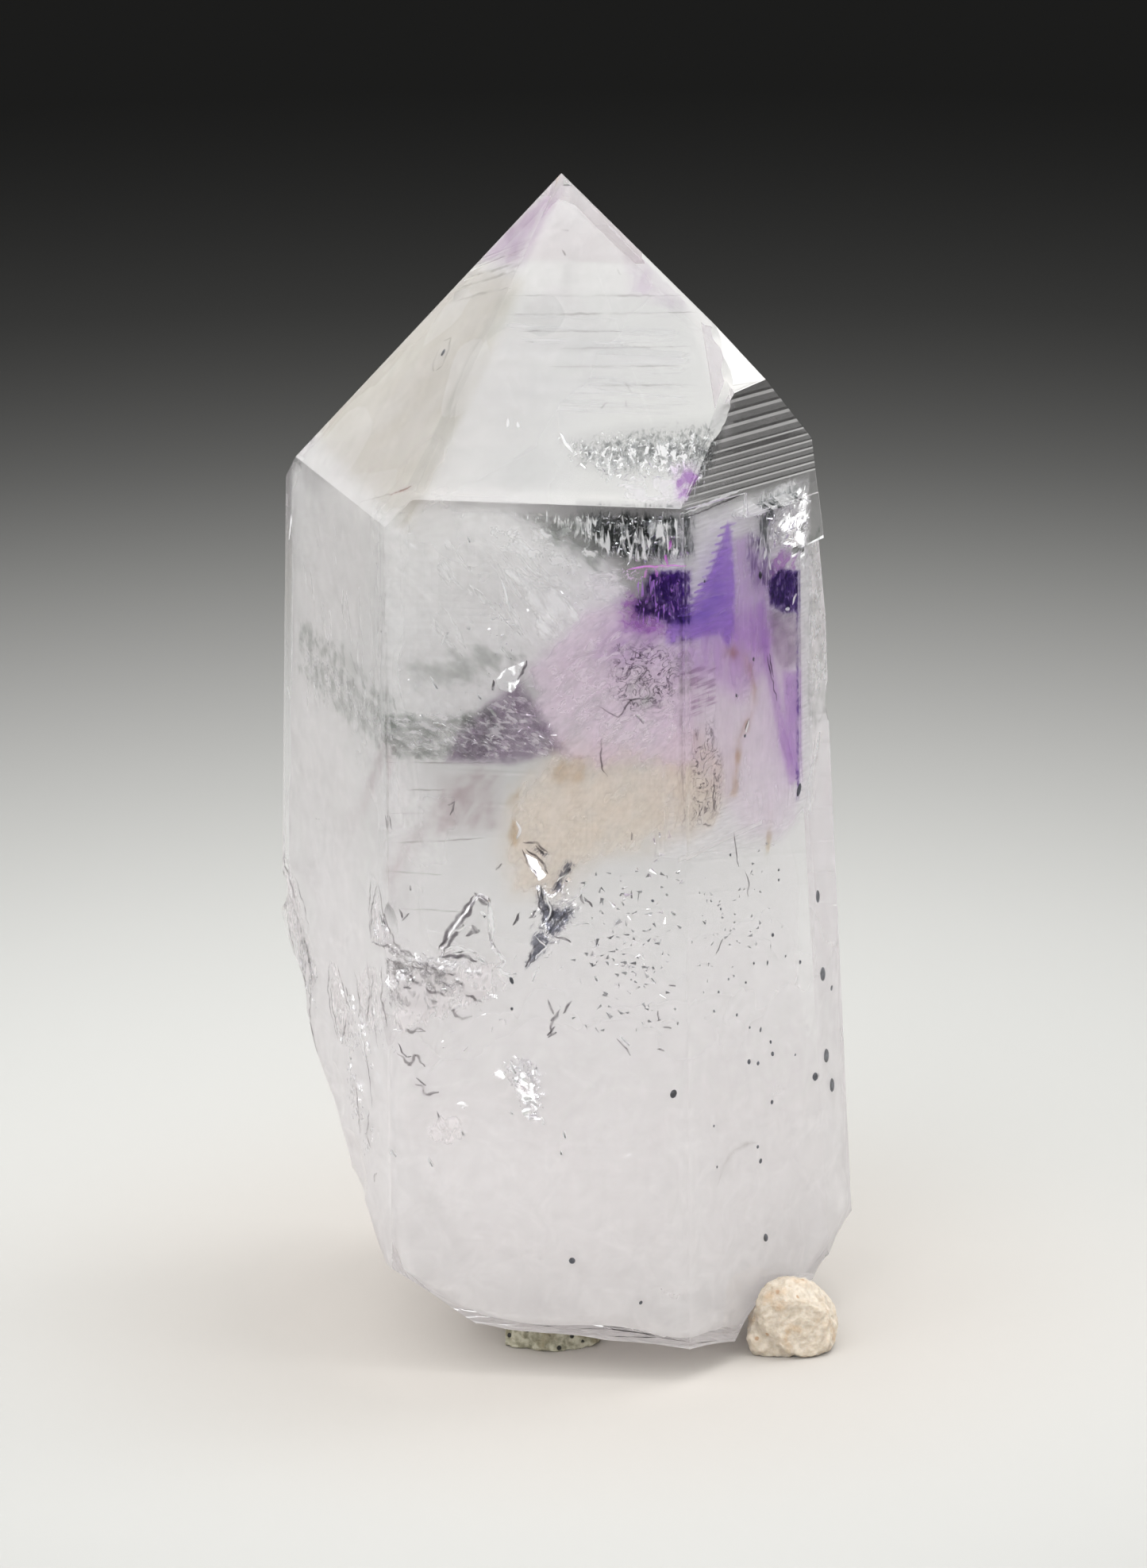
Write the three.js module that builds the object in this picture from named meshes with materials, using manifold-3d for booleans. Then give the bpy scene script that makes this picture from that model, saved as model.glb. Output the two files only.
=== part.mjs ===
// A single quartz crystal with amethyst growth zones, standing on its broken base.
// Two small remnants of its host rock still cling under the base: a grey one in front, a cream one at
// the right.
// Millimetres, +Z up along the crystal's long axis, front prism face towards -Y, resting surface at z = 0.
import * as THREE from "three";
import { mergeVertices } from "three/addons/utils/BufferGeometryUtils.js";
import Module from "manifold-3d";

const { degToRad, radToDeg } = THREE.MathUtils;

const wasm = await Module();
wasm.setup();

// Driving dimensions of the whole specimen
const HEIGHT = 80; // resting surface to tip
const AXIS_X = 0.34; // where the crystal's long axis stands: the specimen's box is centred on the origin
const AXIS_Y = 0.215;
const GAP = 0.3; // clearance between touching pieces
const BLOCK = 240; // side of the blocks that trim the crystal, larger than anything they cut

// Quartz: cell ratio c/a = 1.1, so the termination faces stand 38.2 degrees above level
const CELL_RATIO = 1.1;
const TIP_RISE = 90 - radToDeg(Math.atan((2 / Math.sqrt(3)) * CELL_RATIO));

// A face looks out at an azimuth (0 = towards -Y, positive towards +X) and leans back by its rise
// above level. reach is how far it stands from the axis at the given height.
const PRISM = {
  frontLeft: { azimuth: -60, rise: 0, reach: 15.95, height: 0 },
  front: { azimuth: 0, rise: 0, reach: 14.36, height: 0 },
  frontRight: { azimuth: 60, rise: 0, reach: 15.74, height: 0 },
  rightUpper: { azimuth: 120, rise: 8, reach: 13.65, height: 62.65 },
  rightLower: { azimuth: 120, rise: 2.8, reach: 15.5, height: 50 },
  back: { azimuth: 180, rise: 0.9, reach: 13.1, height: 57.8 },
  backLeft: { azimuth: -120, rise: 2.3, reach: 16.61, height: 57.8 },
};
const TIP = {
  left: { azimuth: -60, rise: TIP_RISE, reach: 0, height: HEIGHT },
  front: { azimuth: 0, rise: TIP_RISE, reach: 0, height: HEIGHT },
  right: { azimuth: 60, rise: TIP_RISE, reach: 6.31, height: HEIGHT },
  backRight: { azimuth: 120, rise: TIP_RISE, reach: 0, height: HEIGHT },
  back: { azimuth: 180, rise: TIP_RISE, reach: 2.4, height: HEIGHT },
  backLeft: { azimuth: -117.3, rise: 37.4, reach: 0, height: HEIGHT },
};

// The strip that bevels the front right face below its striated top: upright above, flaring outwards below
const STRIP_BANDS = [
  { azimuth: 75, rise: 0, reach: 16.52, height: 0, bottom: 41, top: 55.4 },
  { azimuth: 75, rise: 1.15, reach: 16.52, height: 41, bottom: -1, top: 41 },
];

// Growth terraces: the part of a face inside an outline (across, height) lies deeper by its depth
const TERRACES = [
  {
    face: PRISM.frontRight,
    depth: 0.14,
    outline: [[-9, 61.8], [-0.6, 60.9], [-0.45, 59.3], [9, 58.6], [9, 72], [-9, 72]],
  },
  {
    face: PRISM.back,
    depth: 0.35,
    outline: [
      [-12, 47], [-3.5, 47.4], [-2.9, 41.5], [4.2, 41.1],
      [4.8, 50.2], [12, 50.6], [12, 72], [-12, 72],
    ],
  },
  {
    face: PRISM.backLeft,
    depth: 0.25,
    outline: [[-3.1, 30], [2.2, 29.4], [2.5, 52], [-2.8, 52.6]],
  },
  {
    face: TIP.back,
    depth: 0.2,
    outline: [[-2.2, 76.8], [2.6, 76.5], [4.3, 71.5], [-3.6, 71.9]],
  },
];

// Striations: grooves that repeat downwards from the top height of their band and rise by slope along it.
// A band lies inset below its face, as deep as the terrace that it runs across.
const STRIATIONS = [
  {
    face: PRISM.frontRight, inset: 0.14,
    top: 67.6, pitch: 0.86, count: 4, half: 8.5, slope: -0.1,
    width: 0.42, depth: 0.07,
  },
  {
    face: PRISM.frontRight, inset: 0.14,
    top: 64.3, pitch: 0.52, count: 7, half: 9, slope: -0.1,
    width: 0.24, depth: 0.045,
  },
  {
    face: PRISM.back, inset: 0,
    top: 38.8, pitch: 2.3, count: 9, half: 9, slope: 0.01,
    width: 0.35, depth: 0.05,
  },
  {
    face: TIP.left, inset: 0,
    top: 75.3, pitch: 0.62, count: 4, half: 3.4, slope: 0.76,
    width: 0.22, depth: 0.045,
  },
];

// Broken surfaces: hackly planes, each given by a point on it, the way that it opens,
// how far its ridges stand above its bowls, and the width of a bowl
const BREAKS = [
  // the lower left side, from the side corner down to the foot
  { at: [-19.4, 1.6, 25.6], opens: { azimuth: -78, rise: -9 }, ridge: 0.5, bowl: 4.2 },
  { at: [-15.7, -5.2, 15.9], opens: { azimuth: -82, rise: -17.5 }, ridge: 0.6, bowl: 6.5 },
  { at: [-12.2, -10.8, 9.4], opens: { azimuth: -86, rise: -31 }, ridge: 0.5, bowl: 5.4 },
  { at: [-16.2, 6.6, 14], opens: { azimuth: -104, rise: -15 }, ridge: 0.9, bowl: 7.6 },
  // the underside: low hollow in front, rising towards the left
  { at: [2, -12, 2.4], opens: { azimuth: -24, rise: -79 }, ridge: 0.4, bowl: 5.1 },
  { at: [-6.6, -14.2, 4.7], opens: { azimuth: -60, rise: -53 }, ridge: 0.35, bowl: 4.6 },
  // the back of the foot
  { at: [15, 8.6, 4.6], opens: { azimuth: 118, rise: -38 }, ridge: 0.8, bowl: 6.1 },
  { at: [4.5, 12.9, 3.6], opens: { azimuth: 171, rise: -44 }, ridge: 0.7, bowl: 5.2 },
  { at: [-7.4, 11.6, 5.6], opens: { azimuth: -158, rise: -35 }, ridge: 0.8, bowl: 7 },
];
const BREAK_SIZE = 54; // side of the block that makes a broken surface
const BREAK_CELLS = 36; // its grid

// Conchoidal chips: shallow bowls, each given by a point on its floor, the way that it opens and its radius
const CHIPS = [
  // the bitten lower right corner above the cream remnant
  { at: [18.2, 1.4, 5.9], opens: { azimuth: 96, rise: -46 }, radius: 14 },
  { at: [16.7, -1.6, 3.4], opens: { azimuth: 82, rise: -22 }, radius: 4.4 },
  { at: [14.9, -5.2, 4.2], opens: { azimuth: 66, rise: -66 }, radius: 8 },
  // scallops along the lower left side
  { at: [-18, 0.9, 22.6], opens: { azimuth: -66, rise: -16 }, radius: 5 },
  { at: [-14.9, -5.5, 17.6], opens: { azimuth: -58, rise: -8 }, radius: 6 },
  { at: [-13.3, -8.1, 13.8], opens: { azimuth: -60, rise: -14 }, radius: 7 },
  // knocks on the edges
  { at: [-9.88, -13.98, 31.6], opens: { azimuth: -38, rise: -4 }, radius: 5.5 },
  { at: [-10.1, -13.95, 26.4], opens: { azimuth: -44, rise: -10 }, radius: 7 },
  { at: [-19, 1.5, 28], opens: { azimuth: -80, rise: 0 }, radius: 3.5 },
  { at: [10.95, -6.75, 71.35], opens: { azimuth: 27, rise: 41 }, radius: 4 },
  { at: [11.75, -8.3, 69.4], opens: { azimuth: 25, rise: 38 }, radius: 5 },
  { at: [11.72, -10.1, 66.9], opens: { azimuth: 26, rise: 22 }, radius: 4.5 },
  { at: [17.25, 1.35, 42.6], opens: { azimuth: 96, rise: 6 }, radius: 5 },
];
const CHIP_DETAIL = 7; // subdivisions of the bowls
const PLATE = 3; // thickness of the plates that cut the terraces

// The two remnants of host rock: centre, half sizes, lumpiness, and flat breaks given like faces
// about the centre
const GREY_ROCK = {
  centre: [-0.6, -6.2, 0.7],
  half: [3.5, 3.9, 2.4],
  lumpiness: 0.09,
  breaks: [{ azimuth: 30, rise: 12, reach: 3.1 }],
};
const CREAM_ROCK = {
  centre: [15.5, -6.4, 1.7],
  half: [3.2, 3.7, 3.1],
  lumpiness: 0.11,
  breaks: [
    { azimuth: 84, rise: 8, reach: 3.1 },
    { azimuth: 24, rise: 4, reach: 2.9 },
  ],
};
const ROCK_DETAIL = 7; // subdivisions of the pebbles
// waves over a pebble's directions: how often each repeats along x, y and z, and its share of the lumpiness
const ROCK_WAVES = [
  { x: 2.1, y: 1.3, z: 2.7, phase: 0.4, height: 1 },
  { x: -3.9, y: 4.6, z: 1.2, phase: 1.9, height: 0.6 },
  { x: 6.3, y: -5.2, z: 7.1, phase: 4.1, height: 0.35 },
];

// The three directions of a face: along it to the right, along it upwards, and straight out of it.
function faceAxes({ azimuth, rise }) {
  const turn = degToRad(azimuth);
  const lean = degToRad(rise);
  const across = new THREE.Vector3(Math.cos(turn), Math.sin(turn), 0);
  const out = new THREE.Vector3(
    Math.sin(turn) * Math.cos(lean),
    -Math.cos(turn) * Math.cos(lean),
    Math.sin(lean),
  );
  const up = new THREE.Vector3().crossVectors(out, across);
  return { across, up, out };
}

// The point of a face that lies a distance across from its middle line, at a height.
function pointOnFace(face, across, height) {
  const turn = degToRad(face.azimuth);
  const reach = face.reach + (face.height - height) * Math.tan(degToRad(face.rise));
  return new THREE.Vector3(
    reach * Math.sin(turn) + across * Math.cos(turn),
    -reach * Math.cos(turn) + across * Math.sin(turn),
    height,
  );
}

// A closed geometry as a solid that can be joined and cut.
function solidOf(geometry) {
  const bare = geometry.clone();
  bare.deleteAttribute("normal");
  bare.deleteAttribute("uv");
  const merged = mergeVertices(bare, 1e-4);
  return new wasm.Manifold(
    new wasm.Mesh({
      numProp: 3,
      vertProperties: merged.attributes.position.array,
      triVerts: new Uint32Array(merged.index.array),
    }),
  );
}

// A solid as the geometry of a mesh, flat-shaded.
function geometryOf(solid) {
  const { vertProperties, triVerts } = solid.getMesh();
  const geometry = new THREE.BufferGeometry();
  geometry.setAttribute("position", new THREE.BufferAttribute(vertProperties, 3));
  geometry.setIndex(new THREE.BufferAttribute(triVerts, 1));
  const flat = geometry.toNonIndexed();
  flat.computeVertexNormals();
  return flat;
}

// Sets a geometry down with its x, y and z along a face's across, up and out directions.
function layOnFace(geometry, face, origin) {
  const { across, up, out } = faceAxes(face);
  const place = new THREE.Matrix4().makeBasis(across, up, out).setPosition(origin);
  return geometry.applyMatrix4(place);
}

// Everything outside a face's plane, as a block.
function outsideOf(face, origin = pointOnFace(face, 0, face.height)) {
  const block = new THREE.BoxGeometry(BLOCK, BLOCK, BLOCK).translate(0, 0, BLOCK / 2);
  return solidOf(layOnFace(block, face, origin));
}

// The ideal crystal: a block trimmed by its prism and termination faces, standing on the resting surface.
function growCrystal() {
  const start = new THREE.BoxGeometry(HEIGHT, HEIGHT, HEIGHT + 2);
  start.translate(0, 0, (HEIGHT + 2) / 2);
  const faces = [...Object.values(PRISM), ...Object.values(TIP)];
  return faces.reduce((solid, face) => solid.subtract(outsideOf(face)), solidOf(start));
}

// The cut of one band of the strip, between two levels.
function stripCut(band) {
  const slab = new THREE.BoxGeometry(HEIGHT, HEIGHT, band.top - band.bottom);
  slab.translate(0, 0, (band.top + band.bottom) / 2);
  return outsideOf(band).intersect(solidOf(slab));
}

// A shallow terrace: the outline on the face, extruded outwards from its depth.
function terraceCut({ face, depth, outline }) {
  const [low] = outline;
  const { up } = faceAxes(face);
  const points = outline.map(
    ([across, height]) => new THREE.Vector2(across, (height - low[1]) / up.z),
  );
  const shape = new THREE.Shape(points);
  const plate = new THREE.ExtrudeGeometry(shape, { depth: PLATE, bevelEnabled: false });
  plate.translate(0, 0, -depth);
  return solidOf(layOnFace(plate, face, pointOnFace(face, 0, low[1])));
}

// One striation: a long three-sided groove whose point is the given depth below the face.
function grooveCut({ face, inset, half, slope, width, depth }, height) {
  const profile = new THREE.Shape([
    new THREE.Vector2(-width / 2, 0),
    new THREE.Vector2(0, -depth),
    new THREE.Vector2(width / 2, 0),
    new THREE.Vector2(0, 1),
  ]);
  const groove = new THREE.ExtrudeGeometry(profile, { depth: 2 * half, bevelEnabled: false });
  groove.translate(0, -inset, -half);
  // the profile's x, y and z lie down the face, out of it and along it
  const { across, up, out } = faceAxes(face);
  const along = across.clone().addScaledVector(up, slope).normalize();
  const down = new THREE.Vector3().crossVectors(out, along);
  const place = new THREE.Matrix4().makeBasis(down, out, along);
  place.setPosition(pointOnFace(face, 0, height));
  return solidOf(groove.applyMatrix4(place));
}

// How far a broken surface lies below its ridges: smooth bowls that meet in sharp ridges.
function hackle(x, y, bowl, phase) {
  const first = Math.abs(Math.sin((Math.PI * (x + y / 3)) / bowl + phase));
  const second = Math.abs(Math.sin((Math.PI * (y - x / 2)) / (1.37 * bowl) + 2 * phase));
  return 0.6 * first + 0.4 * second;
}

// A broken surface: a block outside it whose inner side is hackly.
function breakCut({ at, opens, ridge, bowl }, index) {
  const depth = BREAK_SIZE / 2;
  const block = new THREE.BoxGeometry(BREAK_SIZE, BREAK_SIZE, depth, BREAK_CELLS, BREAK_CELLS, 1);
  block.translate(0, 0, depth / 2);
  const position = block.attributes.position;
  for (let i = 0; i < position.count; i++) {
    if (position.getZ(i) < depth / 2) {
      position.setZ(i, -ridge * hackle(position.getX(i), position.getY(i), bowl, index));
    }
  }
  return solidOf(layOnFace(block, opens, new THREE.Vector3(...at)));
}

// A conchoidal chip: a ball outside the crystal that bites down to the given point.
function chipCut({ at, opens, radius }) {
  const { out } = faceAxes(opens);
  const ball = new THREE.IcosahedronGeometry(radius, CHIP_DETAIL);
  const centre = new THREE.Vector3(...at).addScaledVector(out, radius);
  return solidOf(ball.translate(centre.x, centre.y, centre.z));
}

function cutStriations(crystal) {
  return STRIATIONS.reduce((solid, band) => {
    const heights = Array.from({ length: band.count }, (_, i) => band.top - i * band.pitch);
    return heights.reduce((cut, height) => cut.subtract(grooveCut(band, height)), solid);
  }, crystal);
}

function makeCrystal() {
  const cuts = [
    ...STRIP_BANDS.map(stripCut),
    ...TERRACES.map(terraceCut),
    ...BREAKS.map(breakCut),
    ...CHIPS.map(chipCut),
  ];
  const shaped = cuts.reduce((solid, cut) => solid.subtract(cut), growCrystal());
  return cutStriations(shaped);
}

// How far a rock's surface stands out or in at a direction from its centre.
function lumpAt(direction) {
  return ROCK_WAVES.reduce(
    (sum, wave) =>
      sum +
      wave.height *
        Math.sin(wave.x * direction.x + wave.y * direction.y + wave.z * direction.z + wave.phase),
    0,
  );
}

// A lumpy pebble with flat breaks, cut off level at the resting surface and clear of the crystal.
function makeRock({ centre, half, lumpiness, breaks }, crystal) {
  const pebble = new THREE.IcosahedronGeometry(1, ROCK_DETAIL);
  const position = pebble.attributes.position;
  for (let i = 0; i < position.count; i++) {
    const direction = new THREE.Vector3().fromBufferAttribute(position, i);
    const swell = 1 + lumpiness * lumpAt(direction);
    position.setXYZ(i, ...direction.multiplyScalar(swell).toArray());
  }
  pebble.scale(...half).translate(...centre);

  const ground = outsideOf({ azimuth: 0, rise: -90, reach: 0, height: 0 }, new THREE.Vector3(0, 0, 0));
  let rock = solidOf(pebble).subtract(ground);
  for (const flat of breaks) {
    const origin = new THREE.Vector3(...centre).addScaledVector(faceAxes(flat).out, flat.reach);
    rock = rock.subtract(outsideOf(flat, origin));
  }
  // the crystal, and the crystal moved towards the rock, so that a gap is left between them
  const shifts = [[0, 0, 0], [0, 0, -GAP], [0, -GAP, 0], [GAP, -GAP / 2, 0]];
  for (const shift of shifts) {
    rock = rock.subtract(crystal.translate(shift));
  }
  return rock;
}

const materials = {
  amethyst: new THREE.MeshStandardMaterial({ color: 0xd9d2df, roughness: 0.05, metalness: 0 }),
  greyRock: new THREE.MeshStandardMaterial({ color: 0x9c9882, roughness: 0.85, metalness: 0 }),
  creamRock: new THREE.MeshStandardMaterial({ color: 0xdccbb4, roughness: 0.7, metalness: 0 }),
};

function namedMesh(name, solid, material) {
  const mesh = new THREE.Mesh(geometryOf(solid), material);
  mesh.name = name;
  return mesh;
}

const crystal = makeCrystal();
const specimen = new THREE.Group();
specimen.position.set(AXIS_X, AXIS_Y, 0);
specimen.add(
  namedMesh("amethyst_crystal", crystal, materials.amethyst),
  namedMesh("grey_rock_remnant", makeRock(GREY_ROCK, crystal), materials.greyRock),
  namedMesh("cream_rock_remnant", makeRock(CREAM_ROCK, crystal), materials.creamRock),
);

export default specimen;
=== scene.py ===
"""Studio scene of a single amethyst quartz crystal that stands free on its broken base.

The crystal is one clear solid. Purple and smoky growth zones, white veils, cracks, a negative crystal
and dark grains lie inside it, and two remnants of its host rock cling under its base.
Everything is in metres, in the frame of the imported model: +Z up, front prism face towards -Y.
"""

import logging
import math
import random
from collections.abc import Iterator, Sequence
from contextlib import contextmanager
from dataclasses import dataclass, field
from enum import Enum
from functools import cache

import bmesh
import bpy
from mathutils import Matrix, Vector, noise
from mathutils.bvhtree import BVHTree


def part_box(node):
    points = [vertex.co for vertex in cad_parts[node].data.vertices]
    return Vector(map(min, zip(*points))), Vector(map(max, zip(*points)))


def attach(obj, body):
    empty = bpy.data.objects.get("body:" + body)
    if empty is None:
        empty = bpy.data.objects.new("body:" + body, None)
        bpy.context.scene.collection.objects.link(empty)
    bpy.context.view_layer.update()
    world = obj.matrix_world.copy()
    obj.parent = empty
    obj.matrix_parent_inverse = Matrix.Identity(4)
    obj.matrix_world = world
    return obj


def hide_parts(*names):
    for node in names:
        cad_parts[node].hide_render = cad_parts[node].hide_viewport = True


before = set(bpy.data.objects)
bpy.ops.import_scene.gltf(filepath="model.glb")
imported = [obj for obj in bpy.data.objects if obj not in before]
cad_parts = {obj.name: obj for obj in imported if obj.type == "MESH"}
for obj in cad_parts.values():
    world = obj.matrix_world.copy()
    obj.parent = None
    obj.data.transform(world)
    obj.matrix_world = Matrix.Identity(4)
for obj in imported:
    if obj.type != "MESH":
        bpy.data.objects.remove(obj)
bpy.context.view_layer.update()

LOG = logging.getLogger("amethyst")

MM = 0.001
QUARTZ_IOR = 1.544
CRYSTAL_NODE = "amethyst_crystal"
STRENGTH = "strength"

# Corners of the CAD mesh that are nearer than this become one, in millimetres
WELD = 0.0005

# How far a layer's noise sinks where its edge fades out
EDGE_WEAR = 0.3

# The strength from which a layer shows in full
FULL_STRENGTH = 0.5

# How far apart in the noise two sheets or skins lie, for each millimetre between them
SHEET_SHIFT = 3
SKIN_SHIFT = 9

# Depths behind the faces that sheets and ribbons keep, in millimetres
SHALLOWEST_SHEET = 0.3
SHEET_MARGIN = 0.25
SHEET_DEPTH = 0.2
RIBBON_MARGIN = 0.2
RIBBON_DEPTH = 0.15

Colour = tuple[float, float, float]
Socket = bpy.types.NodeSocket
Spot = tuple[float, float]
Place = tuple[float, float, float]


def rgba(colour: Colour) -> tuple[float, float, float, float]:
    """A colour with full alpha."""
    return (*colour, 1.0)


def direction(azimuth: float, rise: float) -> Vector:
    """The direction at an azimuth (0 towards -Y, positive towards +X) and a rise above level, in degrees."""
    turn, lift = math.radians(azimuth), math.radians(rise)
    return Vector((math.sin(turn) * math.cos(lift), -math.cos(turn) * math.cos(lift), math.sin(lift)))


# The photograph's view


@dataclass(frozen=True)
class PhotoView:
    """Where the photograph was taken from, for a picture of 1445 by 1975 pixels."""

    azimuth: float = 7.53
    elevation: float = 19.58
    roll: float = 0.48
    picture_pixels: int = 1975
    crystal_pixels: int = 1510
    lens: float = 900.0
    target: Place = (0.85 * MM, -0.115 * MM, 37.1 * MM)

    @property
    def picture_height(self) -> float:
        """How much the picture shows from its lower to its upper edge, in metres."""
        return self.picture_pixels * TIP_HEIGHT / self.crystal_pixels * MM

    @property
    def back(self) -> Vector:
        """The direction from the crystal to the camera."""
        return direction(self.azimuth, self.elevation)

    def place_camera(self) -> bpy.types.Object:
        """Adds the camera, with the picture's long side along its sensor.

        Returns:
            The camera, which is also the scene's.
        """
        bpy.ops.object.camera_add()
        camera = bpy.context.object
        camera.name = "photo_camera"
        camera.data.lens = self.lens
        half_height = camera.data.sensor_width / 2
        distance = self.picture_height / 2 * self.lens / half_height
        roll = Matrix.Rotation(math.radians(-self.roll), 4, "Z")
        facing = (-self.back).to_track_quat("-Z", "Y").to_matrix().to_4x4()
        place = Matrix.Translation(Vector(self.target) + self.back * distance)
        camera.matrix_world = place @ facing @ roll
        bpy.context.scene.camera = camera
        return camera


PHOTO = PhotoView()


# The crystal's faces


@dataclass(frozen=True)
class GrowthFace:
    """A flat face of the crystal.

    It looks out at an azimuth (0 towards -Y, positive towards +X) and leans back by its rise above
    level. Its reach is its distance from the crystal's axis at the given height. Lengths are millimetres.
    """

    azimuth: float
    rise: float
    reach: float
    height: float = 0.0

    @property
    def out(self) -> Vector:
        """The direction that the face looks."""
        return direction(self.azimuth, self.rise)

    @property
    def across(self) -> Vector:
        """The level direction along the face, to its right."""
        turn = math.radians(self.azimuth)
        return Vector((math.cos(turn), math.sin(turn), 0))

    def spot(self, across: float, height: float) -> Vector:
        """A place on the face, in metres.

        Args:
            across: Millimetres to the right of the face's middle line.
            height: Millimetres above the resting surface.

        Returns:
            The place.
        """
        turn = math.radians(self.azimuth)
        reach = self.reach + (self.height - height) * math.tan(math.radians(self.rise))
        level = Vector((math.sin(turn), -math.cos(turn), 0)) * reach
        return AXIS + (level + self.across * across + Vector((0, 0, height))) * MM

    def sight_inside(self) -> Vector:
        """The direction in which the photograph looks into the crystal through this face.

        Returns:
            The refracted direction.
        """
        sight = -PHOTO.back
        along = (sight - self.out * sight.dot(self.out)) / QUARTZ_IOR
        return along - self.out * math.sqrt(1 - along.length_squared)

    def behind(self, across: float, height: float, depth: float) -> Vector:
        """The place that the photograph shows at a spot of the face, at a depth behind it.

        Args:
            across: Millimetres to the right of the face's middle line.
            height: Millimetres above the resting surface.
            depth: Millimetres below the face, square to it.

        Returns:
            The place, in metres.
        """
        sight = self.sight_inside()
        return self.spot(across, height) + sight * (depth * MM / -sight.dot(self.out))


AXIS = Vector((0.34, 0.215, 0)) * MM
TIP_HEIGHT = 80.0
TIP_RISE = 38.21


class Face(Enum):
    """The growth faces, and the broken planes that round off the crystal's lower end."""

    FRONT_LEFT = GrowthFace(-60, 0, 15.95)
    FRONT = GrowthFace(0, 0, 14.36)
    FRONT_RIGHT = GrowthFace(60, 0, 15.6)
    STRIP = GrowthFace(75, 0, 16.52)
    RIGHT_UPPER = GrowthFace(120, 8, 13.65, 62.65)
    RIGHT_LOWER = GrowthFace(120, 2.8, 15.5, 50)
    BACK = GrowthFace(180, 0.9, 13.1, 57.8)
    BACK_LEFT = GrowthFace(-120, 2.3, 16.61, 57.8)
    TIP_LEFT = GrowthFace(-60, TIP_RISE, 0, TIP_HEIGHT)
    TIP_FRONT = GrowthFace(0, TIP_RISE, 0, TIP_HEIGHT)
    TIP_RIGHT = GrowthFace(60, TIP_RISE, 6.31, TIP_HEIGHT)
    TIP_BACK_RIGHT = GrowthFace(120, TIP_RISE, 0, TIP_HEIGHT)
    TIP_BACK = GrowthFace(180, TIP_RISE, 2.4, TIP_HEIGHT)
    TIP_BACK_LEFT = GrowthFace(-117.3, 37.4, 0, TIP_HEIGHT)
    LEFT_BREAK = GrowthFace(-78, -9, 18.64, 25.6)
    LEFT_LOW_BREAK = GrowthFace(-82, -17.5, 16.27, 15.9)
    LEFT_FOOT_BREAK = GrowthFace(-86, -31, 12.92, 9.4)
    LEFT_BACK_BREAK = GrowthFace(-104, -15, 17.31, 14)
    FRONT_UNDERSIDE = GrowthFace(-24, -79, 10.15, 2.4)
    LEFT_UNDERSIDE = GrowthFace(-60, -53, 12.82, 4.7)
    RIGHT_CHIP = GrowthFace(96, -46, 18.25, 5.9)
    RIGHT_BACK_FOOT = GrowthFace(118, -38, 17.28, 4.6)
    BACK_FOOT = GrowthFace(171, -44, 13.44, 3.6)
    LEFT_BACK_FOOT = GrowthFace(-158, -35, 13.53, 5.6)


# Modelling helpers


def select_only(*objects: bpy.types.Object) -> None:
    """Selects these objects alone and makes the first one active.

    Args:
        objects: The objects to select.
    """
    bpy.ops.object.select_all(action="DESELECT")
    for piece in objects:
        piece.select_set(True)
    bpy.context.view_layer.objects.active = objects[0]


@contextmanager
def editing(piece: bpy.types.Object, kind: str = "FACE") -> Iterator[None]:
    """Edits one mesh alone, with everything in it selected.

    Args:
        piece: The mesh object.
        kind: What is selected: VERT, EDGE or FACE.

    Returns:
        A context, in which the mesh is in edit mode.
    """
    select_only(piece)
    bpy.ops.object.mode_set(mode="EDIT")
    bpy.ops.mesh.select_mode(type=kind)
    bpy.ops.mesh.select_all(action="SELECT")
    yield
    bpy.ops.object.mode_set(mode="OBJECT")


def settle(piece: bpy.types.Object, name: str) -> bpy.types.Object:
    """Names a piece and puts its place into its mesh.

    Args:
        piece: The object to settle.
        name: Its name.

    Returns:
        The same object, at the origin, unturned and unscaled.
    """
    select_only(piece)
    bpy.ops.object.transform_apply(location=True, rotation=True, scale=True)
    piece.name = name
    piece.data.name = name
    return piece


def copy_of_node(node: str, name: str) -> bpy.types.Object:
    """A merged copy of a CAD node's mesh, as a new piece.

    Args:
        node: The CAD node.
        name: The new piece's name.

    Returns:
        The new piece.
    """
    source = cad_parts[node]
    piece = bpy.data.objects.new(name, source.data.copy())
    bpy.context.scene.collection.objects.link(piece)
    piece.data.materials.clear()
    piece.data.name = name
    with editing(piece, "VERT"):
        bpy.ops.mesh.remove_doubles(threshold=WELD * MM)
    return piece


def join(pieces: Sequence[bpy.types.Object], name: str) -> bpy.types.Object:
    """Joins meshes into one piece with the given name.

    Args:
        pieces: The meshes.
        name: The piece's name.

    Returns:
        The joined piece.
    """
    select_only(*pieces)
    if len(pieces) > 1:
        bpy.ops.object.join()
    return settle(bpy.context.view_layer.objects.active, name)


def apply_modifier(piece: bpy.types.Object, modifier: bpy.types.Modifier) -> None:
    """Applies one modifier of a piece."""
    select_only(piece)
    bpy.ops.object.modifier_apply(modifier=modifier.name)


def keep_inside(piece: bpy.types.Object, margin: float) -> None:
    """Cuts off what lies nearer to the crystal's faces than a margin.

    Args:
        piece: The mesh to cut.
        margin: The least distance to the faces, in millimetres.
    """
    for face in Face:
        plane = face.value
        edge = plane.spot(0, plane.height) - plane.out * margin * MM
        sides = [(vertex.co - edge).dot(plane.out) for vertex in piece.data.vertices]
        if not sides or max(sides) <= 0:
            continue
        with editing(piece):
            bpy.ops.mesh.bisect(plane_co=edge, plane_no=plane.out, clear_outer=True)


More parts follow.
